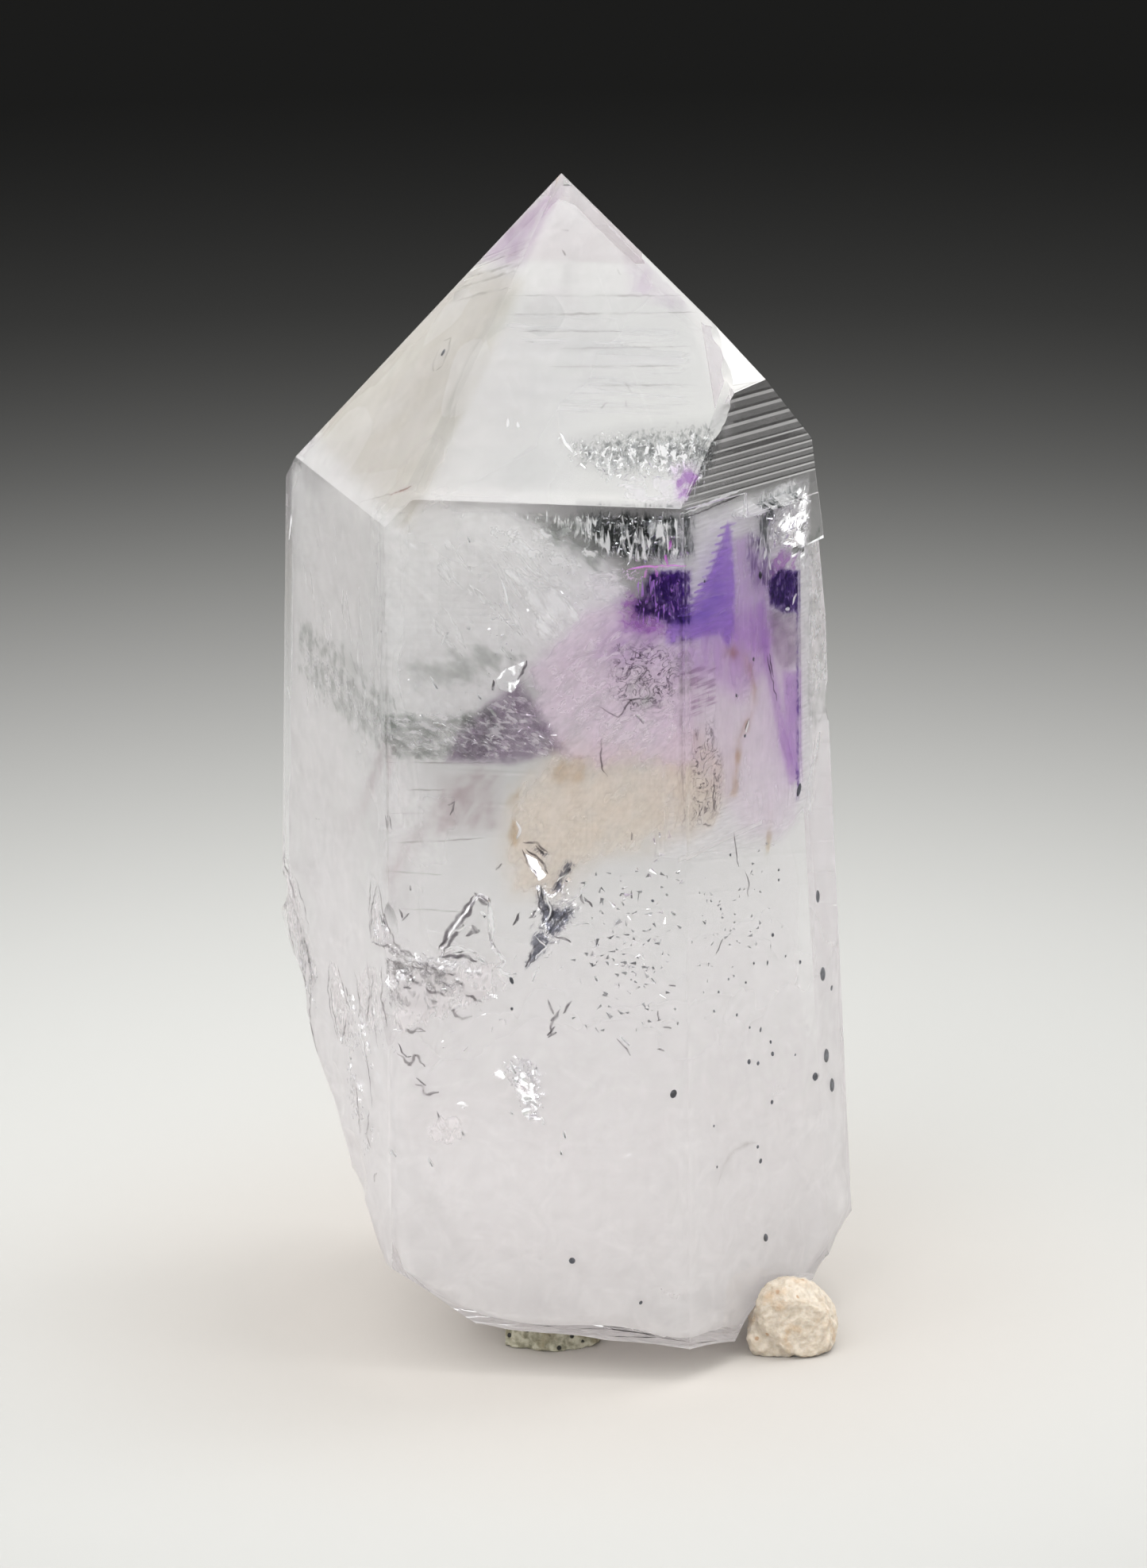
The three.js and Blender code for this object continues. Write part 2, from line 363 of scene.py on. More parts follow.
@cache
def crystal_skin() -> BVHTree:
    """The crystal's surface, for finding the nearest spot on it.

    Returns:
        The surface's search tree.
    """
    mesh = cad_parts[CRYSTAL_NODE].data
    corners = [vertex.co for vertex in mesh.vertices]
    return BVHTree.FromPolygons(corners, [part.vertices for part in mesh.polygons])


def sink(piece: bpy.types.Object, depth: float) -> None:
    """Moves what lies outside the crystal, or too near to its surface, down below the surface.

    Args:
        piece: The mesh to move.
        depth: The least depth below the surface, in millimetres.
    """
    for vertex in piece.data.vertices:
        near, out, _, _ = crystal_skin().find_nearest(vertex.co)
        if (near - vertex.co).dot(out) < depth * MM:
            vertex.co = near - out * depth * MM


def set_strengths(piece: bpy.types.Object, strengths: Sequence[float]) -> None:
    """Writes how strongly each vertex of a layer shows, from 0 to 1."""
    layer = piece.data.attributes.new(STRENGTH, "FLOAT", "POINT")
    layer.data.foreach_set("value", strengths)


def drop_empty_faces(piece: bpy.types.Object) -> None:
    """Deletes the faces of a layer that don't show at all.

    Args:
        piece: The layer.
    """
    with editing(piece):
        mesh = bmesh.from_edit_mesh(piece.data)
        layer = mesh.verts.layers.float[STRENGTH]
        for part in mesh.faces:
            part.select_set(all(vertex[layer] <= 0 for vertex in part.verts))
        bmesh.update_edit_mesh(piece.data)
        bpy.ops.mesh.delete(type="FACE")


def dress(piece: bpy.types.Object, material: bpy.types.Material) -> None:
    """Gives a piece its material and its slot, and lets it ride with the specimen.

    Args:
        piece: The piece.
        material: Its material.
    """
    piece.data.materials.clear()
    piece.data.materials.append(material)
    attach(piece, "root")


# Materials


@dataclass(frozen=True)
class Grain:
    """A noise's patches.

    Their size is in millimetres, and they are longer along each axis by the stretch, after a turn in
    degrees. Detail is how many finer layers they have, and warp draws them out of shape.
    """

    size: float
    stretch: Place = (1, 1, 1)
    turn: Place = (0, 0, 0)
    detail: float = 4
    warp: float = 0.0


class Wiring:
    """A node tree while it is put together."""

    def __init__(self, tree: bpy.types.NodeTree) -> None:
        """Works on that tree."""
        self.tree = tree

    def node(self, kind: str, inputs: dict | None = None, **settings: object) -> bpy.types.Node:
        """Adds a node.

        Args:
            kind: The node's type.
            inputs: A value or a socket for each input, by its name or number.
            settings: The node's own settings.

        Returns:
            The node.
        """
        made = self.tree.nodes.new(kind)
        for key, value in settings.items():
            setattr(made, key, value)
        for key, value in (inputs or {}).items():
            if isinstance(value, Socket):
                self.tree.links.new(value, made.inputs[key])
            else:
                made.inputs[key].default_value = value
        return made

    def math(self, operation: str, first: Socket | float, second: Socket | float) -> Socket:
        """One arithmetic operation on two values."""
        return self.node("ShaderNodeMath", {0: first, 1: second}, operation=operation).outputs[0]


class Paint(Wiring):
    """A node material while it is put together."""

    def __init__(self, name: str) -> None:
        """Starts an empty material.

        Args:
            name: The material's name.
        """
        self.material = bpy.data.materials.new(name)
        self.material.use_nodes = True
        super().__init__(self.material.node_tree)
        self.tree.nodes.clear()
        self.output = self.tree.nodes.new("ShaderNodeOutputMaterial")

    def place(self) -> Socket:
        """The place on the object."""
        return self.node("ShaderNodeTexCoord").outputs["Object"]

    def noise(self, grain: Grain) -> Socket:
        """A soft noise between 0 and 1.

        Args:
            grain: The noise's patches.

        Returns:
            The noise's value.
        """
        size = tuple(grain.size * MM * part for part in grain.stretch)
        turn = tuple(math.radians(part) for part in grain.turn)
        stretched = self.node(
            "ShaderNodeMapping",
            {"Vector": self.place(), "Rotation": turn, "Scale": size},
            vector_type="TEXTURE",
        )
        inputs = {
            "Vector": stretched.outputs["Vector"],
            "Scale": 1.0,
            "Detail": grain.detail,
            "Distortion": grain.warp,
        }
        return self.node("ShaderNodeTexNoise", inputs).outputs["Fac"]

    def patches(self, grain: Grain, low: float, high: float) -> Socket:
        """Patches of 1 on 0, from a noise that is spread between two levels."""
        return self.spread(self.noise(grain), low, high)

    def strength(self) -> Socket:
        """How strongly the layer shows here."""
        return self.node("ShaderNodeAttribute", attribute_name=STRENGTH).outputs["Fac"]

    def worn(self, grain: Grain, low: float, high: float, start: float, end: float) -> Socket:
        """Patches from start to end, that thin out grain by grain towards the layer's soft edge.

        Args:
            grain: The noise.
            low: Its level where the patches start.
            high: Its level where they are full.
            start: How strong the layer is between the patches.
            end: How strong it is inside them.

        Returns:
            How strong the layer is here.
        """
        strength = self.strength()
        bare = self.math("MULTIPLY", self.math("SUBTRACT", 1.0, strength), EDGE_WEAR)
        patches = self.spread(self.math("SUBTRACT", self.noise(grain), bare), low, high, start, end)
        return self.math("MULTIPLY", patches, self.spread(strength, 0.0, FULL_STRENGTH))

    def spread(
        self, value: Socket, low: float, high: float, start: float = 0.0, end: float = 1.0
    ) -> Socket:
        """Turns values from low to high into values from start to end, held between them."""
        inputs = {"Value": value, "From Min": low, "From Max": high, "To Min": start, "To Max": end}
        return self.node("ShaderNodeMapRange", inputs).outputs["Result"]

    def blend(self, share: Socket, first: Colour | Socket, second: Colour | Socket) -> Socket:
        """A colour between two, by a share from 0 to 1.

        Args:
            share: The second colour's share.
            first: The first colour.
            second: The second colour.

        Returns:
            The blended colour.
        """
        ends = [rgba(end) if isinstance(end, tuple) else end for end in (first, second)]
        inputs = {0: share, 6: ends[0], 7: ends[1]}
        return self.node("ShaderNodeMix", inputs, data_type="RGBA").outputs[2]

    def bump(self, height: Socket, distance: float, under: Socket | None = None) -> Socket:
        """A bumped normal, with its height in millimetres, on top of another one.

        Args:
            height: The relief, from 0 to 1.
            distance: Its height in millimetres.
            under: The normal that it lies on.

        Returns:
            The bumped normal.
        """
        inputs = {"Height": height, "Distance": distance * MM}
        if under:
            inputs["Normal"] = under
        return self.node("ShaderNodeBump", inputs).outputs["Normal"]

    def lit_through(self, colour: Colour, through: float = 0.5) -> Socket:
        """A matt surface that shows the light from its own side and, by its share, the light from behind.

        Args:
            colour: The surface's colour.
            through: The share of light from behind.

        Returns:
            The surface.
        """
        front = self.node("ShaderNodeBsdfDiffuse", {"Color": rgba(colour)})
        behind = self.node("ShaderNodeBsdfTranslucent", {"Color": rgba(colour)})
        return self.mixed(through, front.outputs[0], behind.outputs[0])

    def mixed(self, share: Socket | float, first: Socket, second: Socket) -> Socket:
        """A mix of two surfaces, by the share of the second one."""
        return self.node("ShaderNodeMixShader", {0: share, 1: first, 2: second}).outputs[0]

    def finish(self, surface: Socket, volume: Socket | None = None) -> bpy.types.Material:
        """Wires the surface and, where there is one, the volume, and gives the material back.

        Args:
            surface: The surface's shader.
            volume: The volume's shader.

        Returns:
            The finished material.
        """
        self.tree.links.new(surface, self.output.inputs["Surface"])
        if volume:
            self.tree.links.new(volume, self.output.inputs["Volume"])
        return self.material


class Finish:
    """A finish that builds its material once, however many pieces have it."""

    name: str

    def material(self) -> bpy.types.Material:
        """The finish's material."""
        return bpy.data.materials.get(self.name) or self.mix(Paint(self.name))

    def mix(self, paint: Paint) -> bpy.types.Material:
        """Puts the material together."""
        raise NotImplementedError


@dataclass(frozen=True)
class ClearQuartz(Finish):
    """The crystal's own stuff: clear, faintly lilac, with finely striated faces."""

    name: str = "clear_quartz"
    tint: Colour = (0.9, 0.82, 0.93)
    absorption: float = 3.0
    striations: Grain = Grain(0.5, (18, 18, 1), detail=3)
    striated: Grain = Grain(9, detail=3)
    striated_levels: Spot = (0.4, 0.62)
    striation_height: float = 0.0016
    ripples: Grain = Grain(3.5, detail=2)
    ripple_height: float = 0.004

    def mix(self, paint: Paint) -> bpy.types.Material:
        """Puts the material together.

        Args:
            paint: The material to paint.

        Returns:
            The finished material.
        """
        striated = paint.patches(self.striated, *self.striated_levels)
        relief = paint.math("MULTIPLY", paint.noise(self.striations), striated)
        fine = paint.bump(relief, self.striation_height)
        normal = paint.bump(paint.noise(self.ripples), self.ripple_height, fine)
        surface = paint.node(
            "ShaderNodeBsdfPrincipled",
            {
                "Base Color": rgba((1, 1, 1)),
                "Roughness": 0.0,
                "IOR": QUARTZ_IOR,
                "Transmission Weight": 1.0,
                "Normal": normal,
            },
        )
        inputs = {"Color": rgba(self.tint), "Density": self.absorption}
        volume = paint.node("ShaderNodeVolumeAbsorption", inputs)
        return paint.finish(surface.outputs["BSDF"], volume.outputs["Volume"])


@dataclass(frozen=True)
class GrowthTint(Finish):
    """Colour that a growth zone takes out of the light, with a little coloured glow of its own. Some of these
    tints are painted shade instead: grey or dark sheets where the crystal only looks darker.
    """

    name: str
    colour: Colour
    grain: Grain
    low: float = 0.3
    high: float = 0.7
    floor: float = 0.35
    milk: float = 0.0
    glow: Colour = (0.6, 0.5, 0.8)

    def mix(self, paint: Paint) -> bpy.types.Material:
        """Puts the material together.

        Args:
            paint: The material to paint.

        Returns:
            The finished material.
        """
        share = paint.worn(self.grain, self.low, self.high, self.floor, 1.0)
        tint = paint.node("ShaderNodeBsdfTransparent", {"Color": paint.blend(share, (1, 1, 1), self.colour)})
        if not self.milk:
            return paint.finish(tint.outputs["BSDF"])
        milky = paint.math("MULTIPLY", share, self.milk)
        return paint.finish(paint.mixed(milky, tint.outputs["BSDF"], paint.lit_through(self.glow)))


@dataclass(frozen=True)
class Haze(Finish):
    """Haze of tiny fluid inclusions on a layer: patchy, and lit from both sides. A few white ones are painted
    highlights instead.
    """

    name: str
    grain: Grain
    low: float
    high: float
    most: float
    least: float = 0.0
    colour: Colour = (0.96, 0.96, 0.97)
    through: float = 0.5

    def mix(self, paint: Paint) -> bpy.types.Material:
        """Puts the material together.

        Args:
            paint: The material to paint.

        Returns:
            The finished material.
        """
        share = paint.worn(self.grain, self.low, self.high, self.least, self.most)
        clear = paint.node("ShaderNodeBsdfTransparent")
        haze = paint.lit_through(self.colour, self.through)
        return paint.finish(paint.mixed(share, clear.outputs[0], haze))


@dataclass(frozen=True)
class CrackFilm(Finish):
    """A thin film of air in a crack, which mirrors the light where the crack is open."""

    name: str
    grain: Grain
    low: float
    high: float
    most: float = 0.9
    roughness: float = 0.12
    colour: Colour = (0.95, 0.95, 0.97)

    def mix(self, paint: Paint) -> bpy.types.Material:
        """Puts the material together.

        Args:
            paint: The material to paint.

        Returns:
            The finished material.
        """
        share = paint.worn(self.grain, self.low, self.high, 0.0, self.most)
        clear = paint.node("ShaderNodeBsdfTransparent")
        mirror = paint.node(
            "ShaderNodeBsdfAnisotropic",
            {"Color": rgba(self.colour), "Roughness": self.roughness},
        )
        return paint.finish(paint.mixed(share, clear.outputs[0], mirror.outputs[0]))


@dataclass(frozen=True)
class Squiggles(Finish):
    """Fine dark squiggles where the quartz healed, drawn along the noise's middle level."""

    name: str
    grain: Grain
    width: float
    colour: Colour

    def mix(self, paint: Paint) -> bpy.types.Material:
        """Puts the material together.

        Args:
            paint: The material to paint.

        Returns:
            The finished material.
        """
        away = paint.math("ABSOLUTE", paint.math("SUBTRACT", paint.noise(self.grain), 0.5), 0.0)
        share = paint.math("MULTIPLY", paint.spread(away, self.width, 0.0), paint.strength())
        tint = paint.blend(share, (1, 1, 1), self.colour)
        surface = paint.node("ShaderNodeBsdfTransparent", {"Color": tint})
        return paint.finish(surface.outputs["BSDF"])


@dataclass(frozen=True)
class GrainFinish(Finish):
    """The stuff of small grains: opaque, from matt to shiny, with a patchy colour."""

    name: str
    dark: Colour
    light: Colour
    roughness: float
    metallic: float = 0.0
    mottle: Grain = Grain(0.4)
    mottle_levels: Spot = (0.35, 0.65)

    def mix(self, paint: Paint) -> bpy.types.Material:
        """Puts the material together.

        Args:
            paint: The material to paint.

        Returns:
            The finished material.
        """
        mottled = paint.patches(self.mottle, *self.mottle_levels)
        colour = paint.blend(mottled, self.dark, self.light)
        surface = paint.node(
            "ShaderNodeBsdfPrincipled",
            {"Base Color": colour, "Roughness": self.roughness, "Metallic": self.metallic},
        )
        return paint.finish(surface.outputs["BSDF"])


@dataclass(frozen=True)
class BubbleWall(Finish):
    """The wall of a hollow in the quartz, which bends light the other way."""

    name: str = "bubble_wall"

    def mix(self, paint: Paint) -> bpy.types.Material:
        """Puts the material together.

        Args:
            paint: The material to paint.

        Returns:
            The finished material.
        """
        surface = paint.node(
            "ShaderNodeBsdfGlass",
            {"Color": rgba((1, 1, 1)), "Roughness": 0.0, "IOR": 1 / QUARTZ_IOR},
        )
        return paint.finish(surface.outputs["BSDF"])


@dataclass(frozen=True)
class RockFinish(Finish):
    """Host rock: grains of two colours, dark specks, stained hollows and a rough grain.

    The stains' size and the relief's size and height are given as shares of the grains' size. Levels are
    where in a noise the patches start and where they are full.
    """

    name: str
    ground: Colour
    grains: Colour
    specks: Colour
    stain: Colour
    grain_size: float
    speck_size: float
    speck_share: float
    roughness: float
    translucency: float
    grain_levels: Spot = (0.38, 0.62)
    stain_size: float = 3.1
    stain_levels: Spot = (0.56, 0.7)
    speck_levels: Spot = (0.28, 0.2)
    relief_size: float = 0.6
    relief_height: float = 0.22
    glow_depth: float = 0.8
    glow_reach: Place = (1.2, 0.8, 0.5)

    def mix(self, paint: Paint) -> bpy.types.Material:
        """Puts the material together.

        Args:
            paint: The material to paint.

        Returns:
            The finished material.
        """
        grains = paint.patches(Grain(self.grain_size, detail=3), *self.grain_levels)
        colour = paint.blend(grains, self.ground, self.grains)
        stained = paint.patches(Grain(self.grain_size * self.stain_size), *self.stain_levels)
        colour = paint.blend(stained, colour, self.stain)
        cells = paint.node(
            "ShaderNodeTexVoronoi",
            {"Vector": paint.place(), "Scale": 1 / (self.speck_size * MM)},
        )
        near = paint.spread(cells.outputs["Distance"], *self.speck_levels)
        lucky = paint.node("ShaderNodeSeparateColor", {"Color": cells.outputs["Color"]}).outputs[0]
        chosen = paint.math("LESS_THAN", lucky, self.speck_share)
        colour = paint.blend(paint.math("MULTIPLY", near, chosen), colour, self.specks)
        rough = paint.noise(Grain(self.grain_size * self.relief_size, detail=3))
        relief = paint.bump(rough, self.grain_size * self.relief_height)
        surface = paint.node(
            "ShaderNodeBsdfPrincipled",
            {
                "Base Color": colour,
                "Roughness": self.roughness,
                "Normal": relief,
                "Subsurface Weight": self.translucency,
                "Subsurface Radius": self.glow_reach,
                "Subsurface Scale": self.glow_depth * MM,
            },
        )
        return paint.finish(surface.outputs["BSDF"])


# The crystal


@dataclass(frozen=True)
class Relief:
    """The steps and grooves on one face: how deep they reach and how much of that the light shows."""

    face: GrowthFace
    deepest: float
    share: float
    lowest: float = 0.0
    shallowest: float = 0.004

    def soften(self, piece: bpy.types.Object) -> None:
        """Makes the face's steps and grooves shallower.

        Args:
            piece: The crystal's mesh.
        """
        edge = self.face.spot(0, self.face.height)
        for vertex in piece.data.vertices:
            depth = (edge - vertex.co).dot(self.face.out) / MM
            if self.shallowest < depth < self.deepest and vertex.co.z > self.lowest * MM:
                vertex.co += self.face.out * depth * (1 - self.share) * MM


@dataclass
class CrystalBody:
    """The crystal's outside: the flat faces, striations and breaks, with fine worn edges."""

    name: str = "crystal_body"
    node: str = CRYSTAL_NODE
    edge_wear: float = 0.045
    reliefs: Sequence[Relief] = (
        Relief(Face.BACK.value, 0.42, 0.12, 16),
        Relief(Face.BACK_LEFT.value, 0.3, 0.15, 26),
        Relief(Face.TIP_BACK.value, 0.25, 0.2, 60),
        Relief(Face.FRONT_RIGHT.value, 0.12, 0.4, 58),
    )
    flat_angle: float = 0.25
    corner_angle: float = 20.0
    smallest_face: float = 12.0
    smooth_angle: float = 14.0
    flat_area: float = 1.0
    finish: ClearQuartz = field(default_factory=ClearQuartz)

    def build(self) -> bpy.types.Object:
        """Models the crystal from its CAD solid.

        Returns:
            The finished piece.
        """
        piece = copy_of_node(self.node, self.name)
        for relief in self.reliefs:
            relief.soften(piece)
        with editing(piece):
            bpy.ops.mesh.dissolve_limited(angle_limit=math.radians(self.flat_angle))
        self.wear_edges(piece)
        self.shade(piece)
        return piece

    def wear_edges(self, piece: bpy.types.Object) -> None:
        """Bevels the edges where two large flat faces meet.

        Args:
            piece: The crystal's mesh.
        """
        with editing(piece, "EDGE"):
            bpy.ops.mesh.select_all(action="DESELECT")
            mesh = bmesh.from_edit_mesh(piece.data)
            least = self.smallest_face * MM * MM
            for edge in mesh.edges:
                large = all(face.calc_area() > least for face in edge.link_faces)
                closed = len(edge.link_faces) == 2
                if closed and large and edge.calc_face_angle() > math.radians(self.corner_angle):
                    edge.select_set(True)
            bmesh.update_edit_mesh(piece.data)
            bpy.ops.mesh.bevel(offset=self.edge_wear * MM, segments=2, affect="EDGES")

    def shade(self, piece: bpy.types.Object) -> None:
        """Shades the broken surfaces smooth between their ridges, and keeps the faces flat.

        Args:
            piece: The crystal's mesh.
        """
        select_only(piece)
        bpy.ops.object.shade_smooth_by_angle(angle=math.radians(self.smooth_angle))
        for part in piece.data.polygons:
            if part.area > self.flat_area * MM * MM:
                part.use_smooth = False

    def dress(self, piece: bpy.types.Object) -> None:
        """Gives the crystal its clear quartz."""
        dress(piece, self.finish.material())
        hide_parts(self.node)


@dataclass
class RockRemnant:
    """A remnant of the host rock, with a grainy surface that reaches the crystal."""

    name: str
    node: str
    slot: str
    finish: RockFinish
    grain: float
    reach_up: float = 0.35
    reach_from: float = 0.4
    cell_share: float = 0.35
    lump_size: float = 1.6
    lump_level: float = 0.7

    def build(self) -> bpy.types.Object:
        """Models the remnant from its CAD solid.

        Returns:
            The finished piece.
        """
        piece = copy_of_node(self.node, self.name)
        low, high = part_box(self.node)
        height = high.z - low.z
        for vertex in piece.data.vertices:
            above = (vertex.co.z - low.z) / height - self.reach_from
            vertex.co.z += self.reach_up * MM * max(0.0, above)
        remesh = piece.modifiers.new("grain", "REMESH")
        remesh.mode = "VOXEL"
        remesh.voxel_size = self.grain * self.cell_share * MM
        apply_modifier(piece, remesh)
        texture = bpy.data.textures.new(self.name, "CLOUDS")
        texture.noise_scale = self.grain * self.lump_size * MM
        texture.noise_depth = 3
        lumps = piece.modifiers.new("lumps", "DISPLACE")
        lumps.texture = texture
        lumps.texture_coords = "LOCAL"
        lumps.mid_level = self.lump_level
        lumps.strength = self.grain * MM
        apply_modifier(piece, lumps)
        for vertex in piece.data.vertices:
            vertex.co.z = max(vertex.co.z, low.z)
        select_only(piece)
        bpy.ops.object.shade_smooth()
        return piece

    def dress(self, piece: bpy.types.Object) -> None:
        """Gives the remnant its rock."""
        dress(piece, self.finish.material())
        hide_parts(self.node)


# Inside the crystal


@dataclass(frozen=True)
class Patch:
    """A region as the photograph shows it through one face, with soft edges.

    Its outline is in millimetres across and up the face. It fades in over the feather, and its sheet
    swings in and out by the wave.
    """

    face: Face
    outline: Sequence[Spot]
    feather: float = 0.6
    cell: float = 0.4
    wave: float = 0.0
    wave_length: float = 4.0

    def inside(self, across: float, height: float) -> float:
        """How far inside the outline a spot lies, in millimetres, and negative outside it.

        Args:
            across: Millimetres across the face.
            height: Millimetres above the resting surface.

        Returns:
            The distance to the outline.
        """
        spot = Vector((across, height))
        nearest = math.inf
        within = False
        for start, end in zip(self.outline, (*self.outline[1:], self.outline[0])):
            first = Vector(start)
            edge = Vector(end) - first
            share = min(1.0, max(0.0, (spot - first).dot(edge) / edge.length_squared))
            nearest = min(nearest, (spot - first - edge * share).length)
            if (start[1] > height) != (end[1] > height):
                within ^= across < start[0] + edge.x * (height - start[1]) / edge.y
        return nearest if within else -nearest

    def sheet(self, name: str, depth: float, lean: float = 0.0) -> bpy.types.Object:
        """Models the patch as one sheet.

        Args:
            name: The sheet's name.
            depth: Its depth behind the face, in millimetres.
            lean: How much deeper it gets for each millimetre downwards.

        Returns:
            The sheet.
        """
        lows = [min(spot[axis] for spot in self.outline) for axis in (0, 1)]
        highs = [max(spot[axis] for spot in self.outline) for axis in (0, 1)]
        spans = [high - low for low, high in zip(lows, highs)]
        counts = [max(2, math.ceil(span / self.cell)) for span in spans]
        bpy.ops.mesh.primitive_grid_add(x_subdivisions=counts[0], y_subdivisions=counts[1], size=2 * MM)
        piece = settle(bpy.context.object, name)
        strengths = []
        for vertex in piece.data.vertices:
            across, height = (
                low + (place / MM + 1) / 2 * span for low, place, span in zip(lows, vertex.co, spans)
            )
            swing = self.wave * noise.noise(Vector((across, height, SHEET_SHIFT * depth)) / self.wave_length)
            deeper = depth + lean * (highs[1] - height) + swing
            vertex.co = self.face.value.behind(across, height, max(SHALLOWEST_SHEET, deeper))
            strengths.append(min(1.0, max(0.0, self.inside(across, height) / self.feather)))
        set_strengths(piece, strengths)
        drop_empty_faces(piece)
        keep_inside(piece, SHEET_MARGIN)
        sink(piece, SHEET_DEPTH)
        return piece


def along(path: Sequence[Spot], share: float) -> tuple[Vector, Vector]:
    """A spot on a path and the direction there.

    Args:
        path: The path's corners, in millimetres.
        share: How far along the path the spot is, from 0 to 1.

    Returns:
        The spot and the direction.
    """
    corners = [Vector(spot) for spot in path]
    edges = [(end - start) for start, end in zip(corners, corners[1:])]
    left = share * sum(edge.length for edge in edges)
    for start, edge in zip(corners, edges):
        if left <= edge.length:
            break
        left -= edge.length
    return start + edge.normalized() * min(left, edge.length), edge.normalized()


def band(path: Sequence[Spot], width: float) -> tuple[Spot, ...]:
    """The outline of a band along a path, in millimetres.

    Args:
        path: The band's middle line.
        width: Its width.

    Returns:
        The outline's corners.
    """
    left, right = [], []
    for number, spot in enumerate(path):
        ahead = Vector(path[min(number + 1, len(path) - 1)])
        behind = Vector(path[max(number - 1, 0)])
        side = (ahead - behind).normalized().orthogonal() * width / 2
        left.append(tuple(Vector(spot) + side))
        right.append(tuple(Vector(spot) - side))
    return (*left, *reversed(right))


class Inclusion:
    """Something that lies inside the crystal and has one finish."""

    finish: Finish

    def dress(self, piece: bpy.types.Object) -> None:
        """Gives the piece its finish."""
        dress(piece, self.finish.material())


@dataclass
class Layers(Inclusion):
    """A growth zone, veil, crack or patch of painted shade: thin layers behind one face, one behind the
    other.
    """

    name: str
    patch: Patch
    depths: Sequence[float]
    finish: Finish
    lean: float = 0.0

    def build(self) -> bpy.types.Object:
        """Models the layers as one piece."""
        sheets = [self.patch.sheet(self.name, depth, self.lean) for depth in self.depths]
        return join(sheets, self.name)


@dataclass
class Strokes(Inclusion):
    """Hairline cracks, bright threads, and lines of painted shade and painted highlight behind one face, each
    a narrow ribbon along its path.
    """

    name: str
    face: Face
    paths: Sequence[Sequence[Spot]]
    finish: Finish
    width: float = 0.2
    depth: float = 0.6
    wobble: float = 0.12
    wobble_length: float = 0.5
    step: float = 0.12

    def build(self) -> bpy.types.Object:
        """Models the ribbons as one piece."""
        return join([self.ribbon(path) for path in self.paths], self.name)

    def ribbon(self, path: Sequence[Spot]) -> bpy.types.Object:
        """Models one ribbon, which narrows towards its ends and shows most along its middle.

        Args:
            path: The corners of its path.

        Returns:
            The ribbon.
        """
        length = sum((Vector(end) - Vector(start)).length for start, end in zip(path, path[1:]))
        rows = max(4, math.ceil(length / self.step))
        bpy.ops.mesh.primitive_grid_add(x_subdivisions=2, y_subdivisions=rows, size=2 * MM)
        piece = settle(bpy.context.object, self.name)
        strengths = []
        for vertex in piece.data.vertices:
            side, share = vertex.co.x / MM, (vertex.co.y / MM + 1) / 2
            spot, way = along(path, share)
            taper = 1 - abs(2 * share - 1) ** 3
            swing = self.wobble * noise.noise(Vector((spot.x, spot.y, self.depth)) / self.wobble_length)
            spot += way.orthogonal() * (side * self.width / 2 * taper + swing)
            vertex.co = self.face.value.behind(spot.x, spot.y, self.depth)
            strengths.append(1 - abs(side))
        set_strengths(piece, strengths)
        keep_inside(piece, RIBBON_MARGIN)
        sink(piece, RIBBON_DEPTH)
        return piece


@dataclass(frozen=True)
class Cloud:
    """A soft cloud of milkiness: its middle and its reach along each axis, in millimetres."""

    middle: Place
    reach: Place
    strength: float

    def at(self, place: Vector) -> float:
        """How strong the cloud is at a place, in millimetres."""
        away = [(here - middle) / reach for here, middle, reach in zip(place, self.middle, self.reach)]
        return self.strength * math.exp(-sum(part * part for part in away))


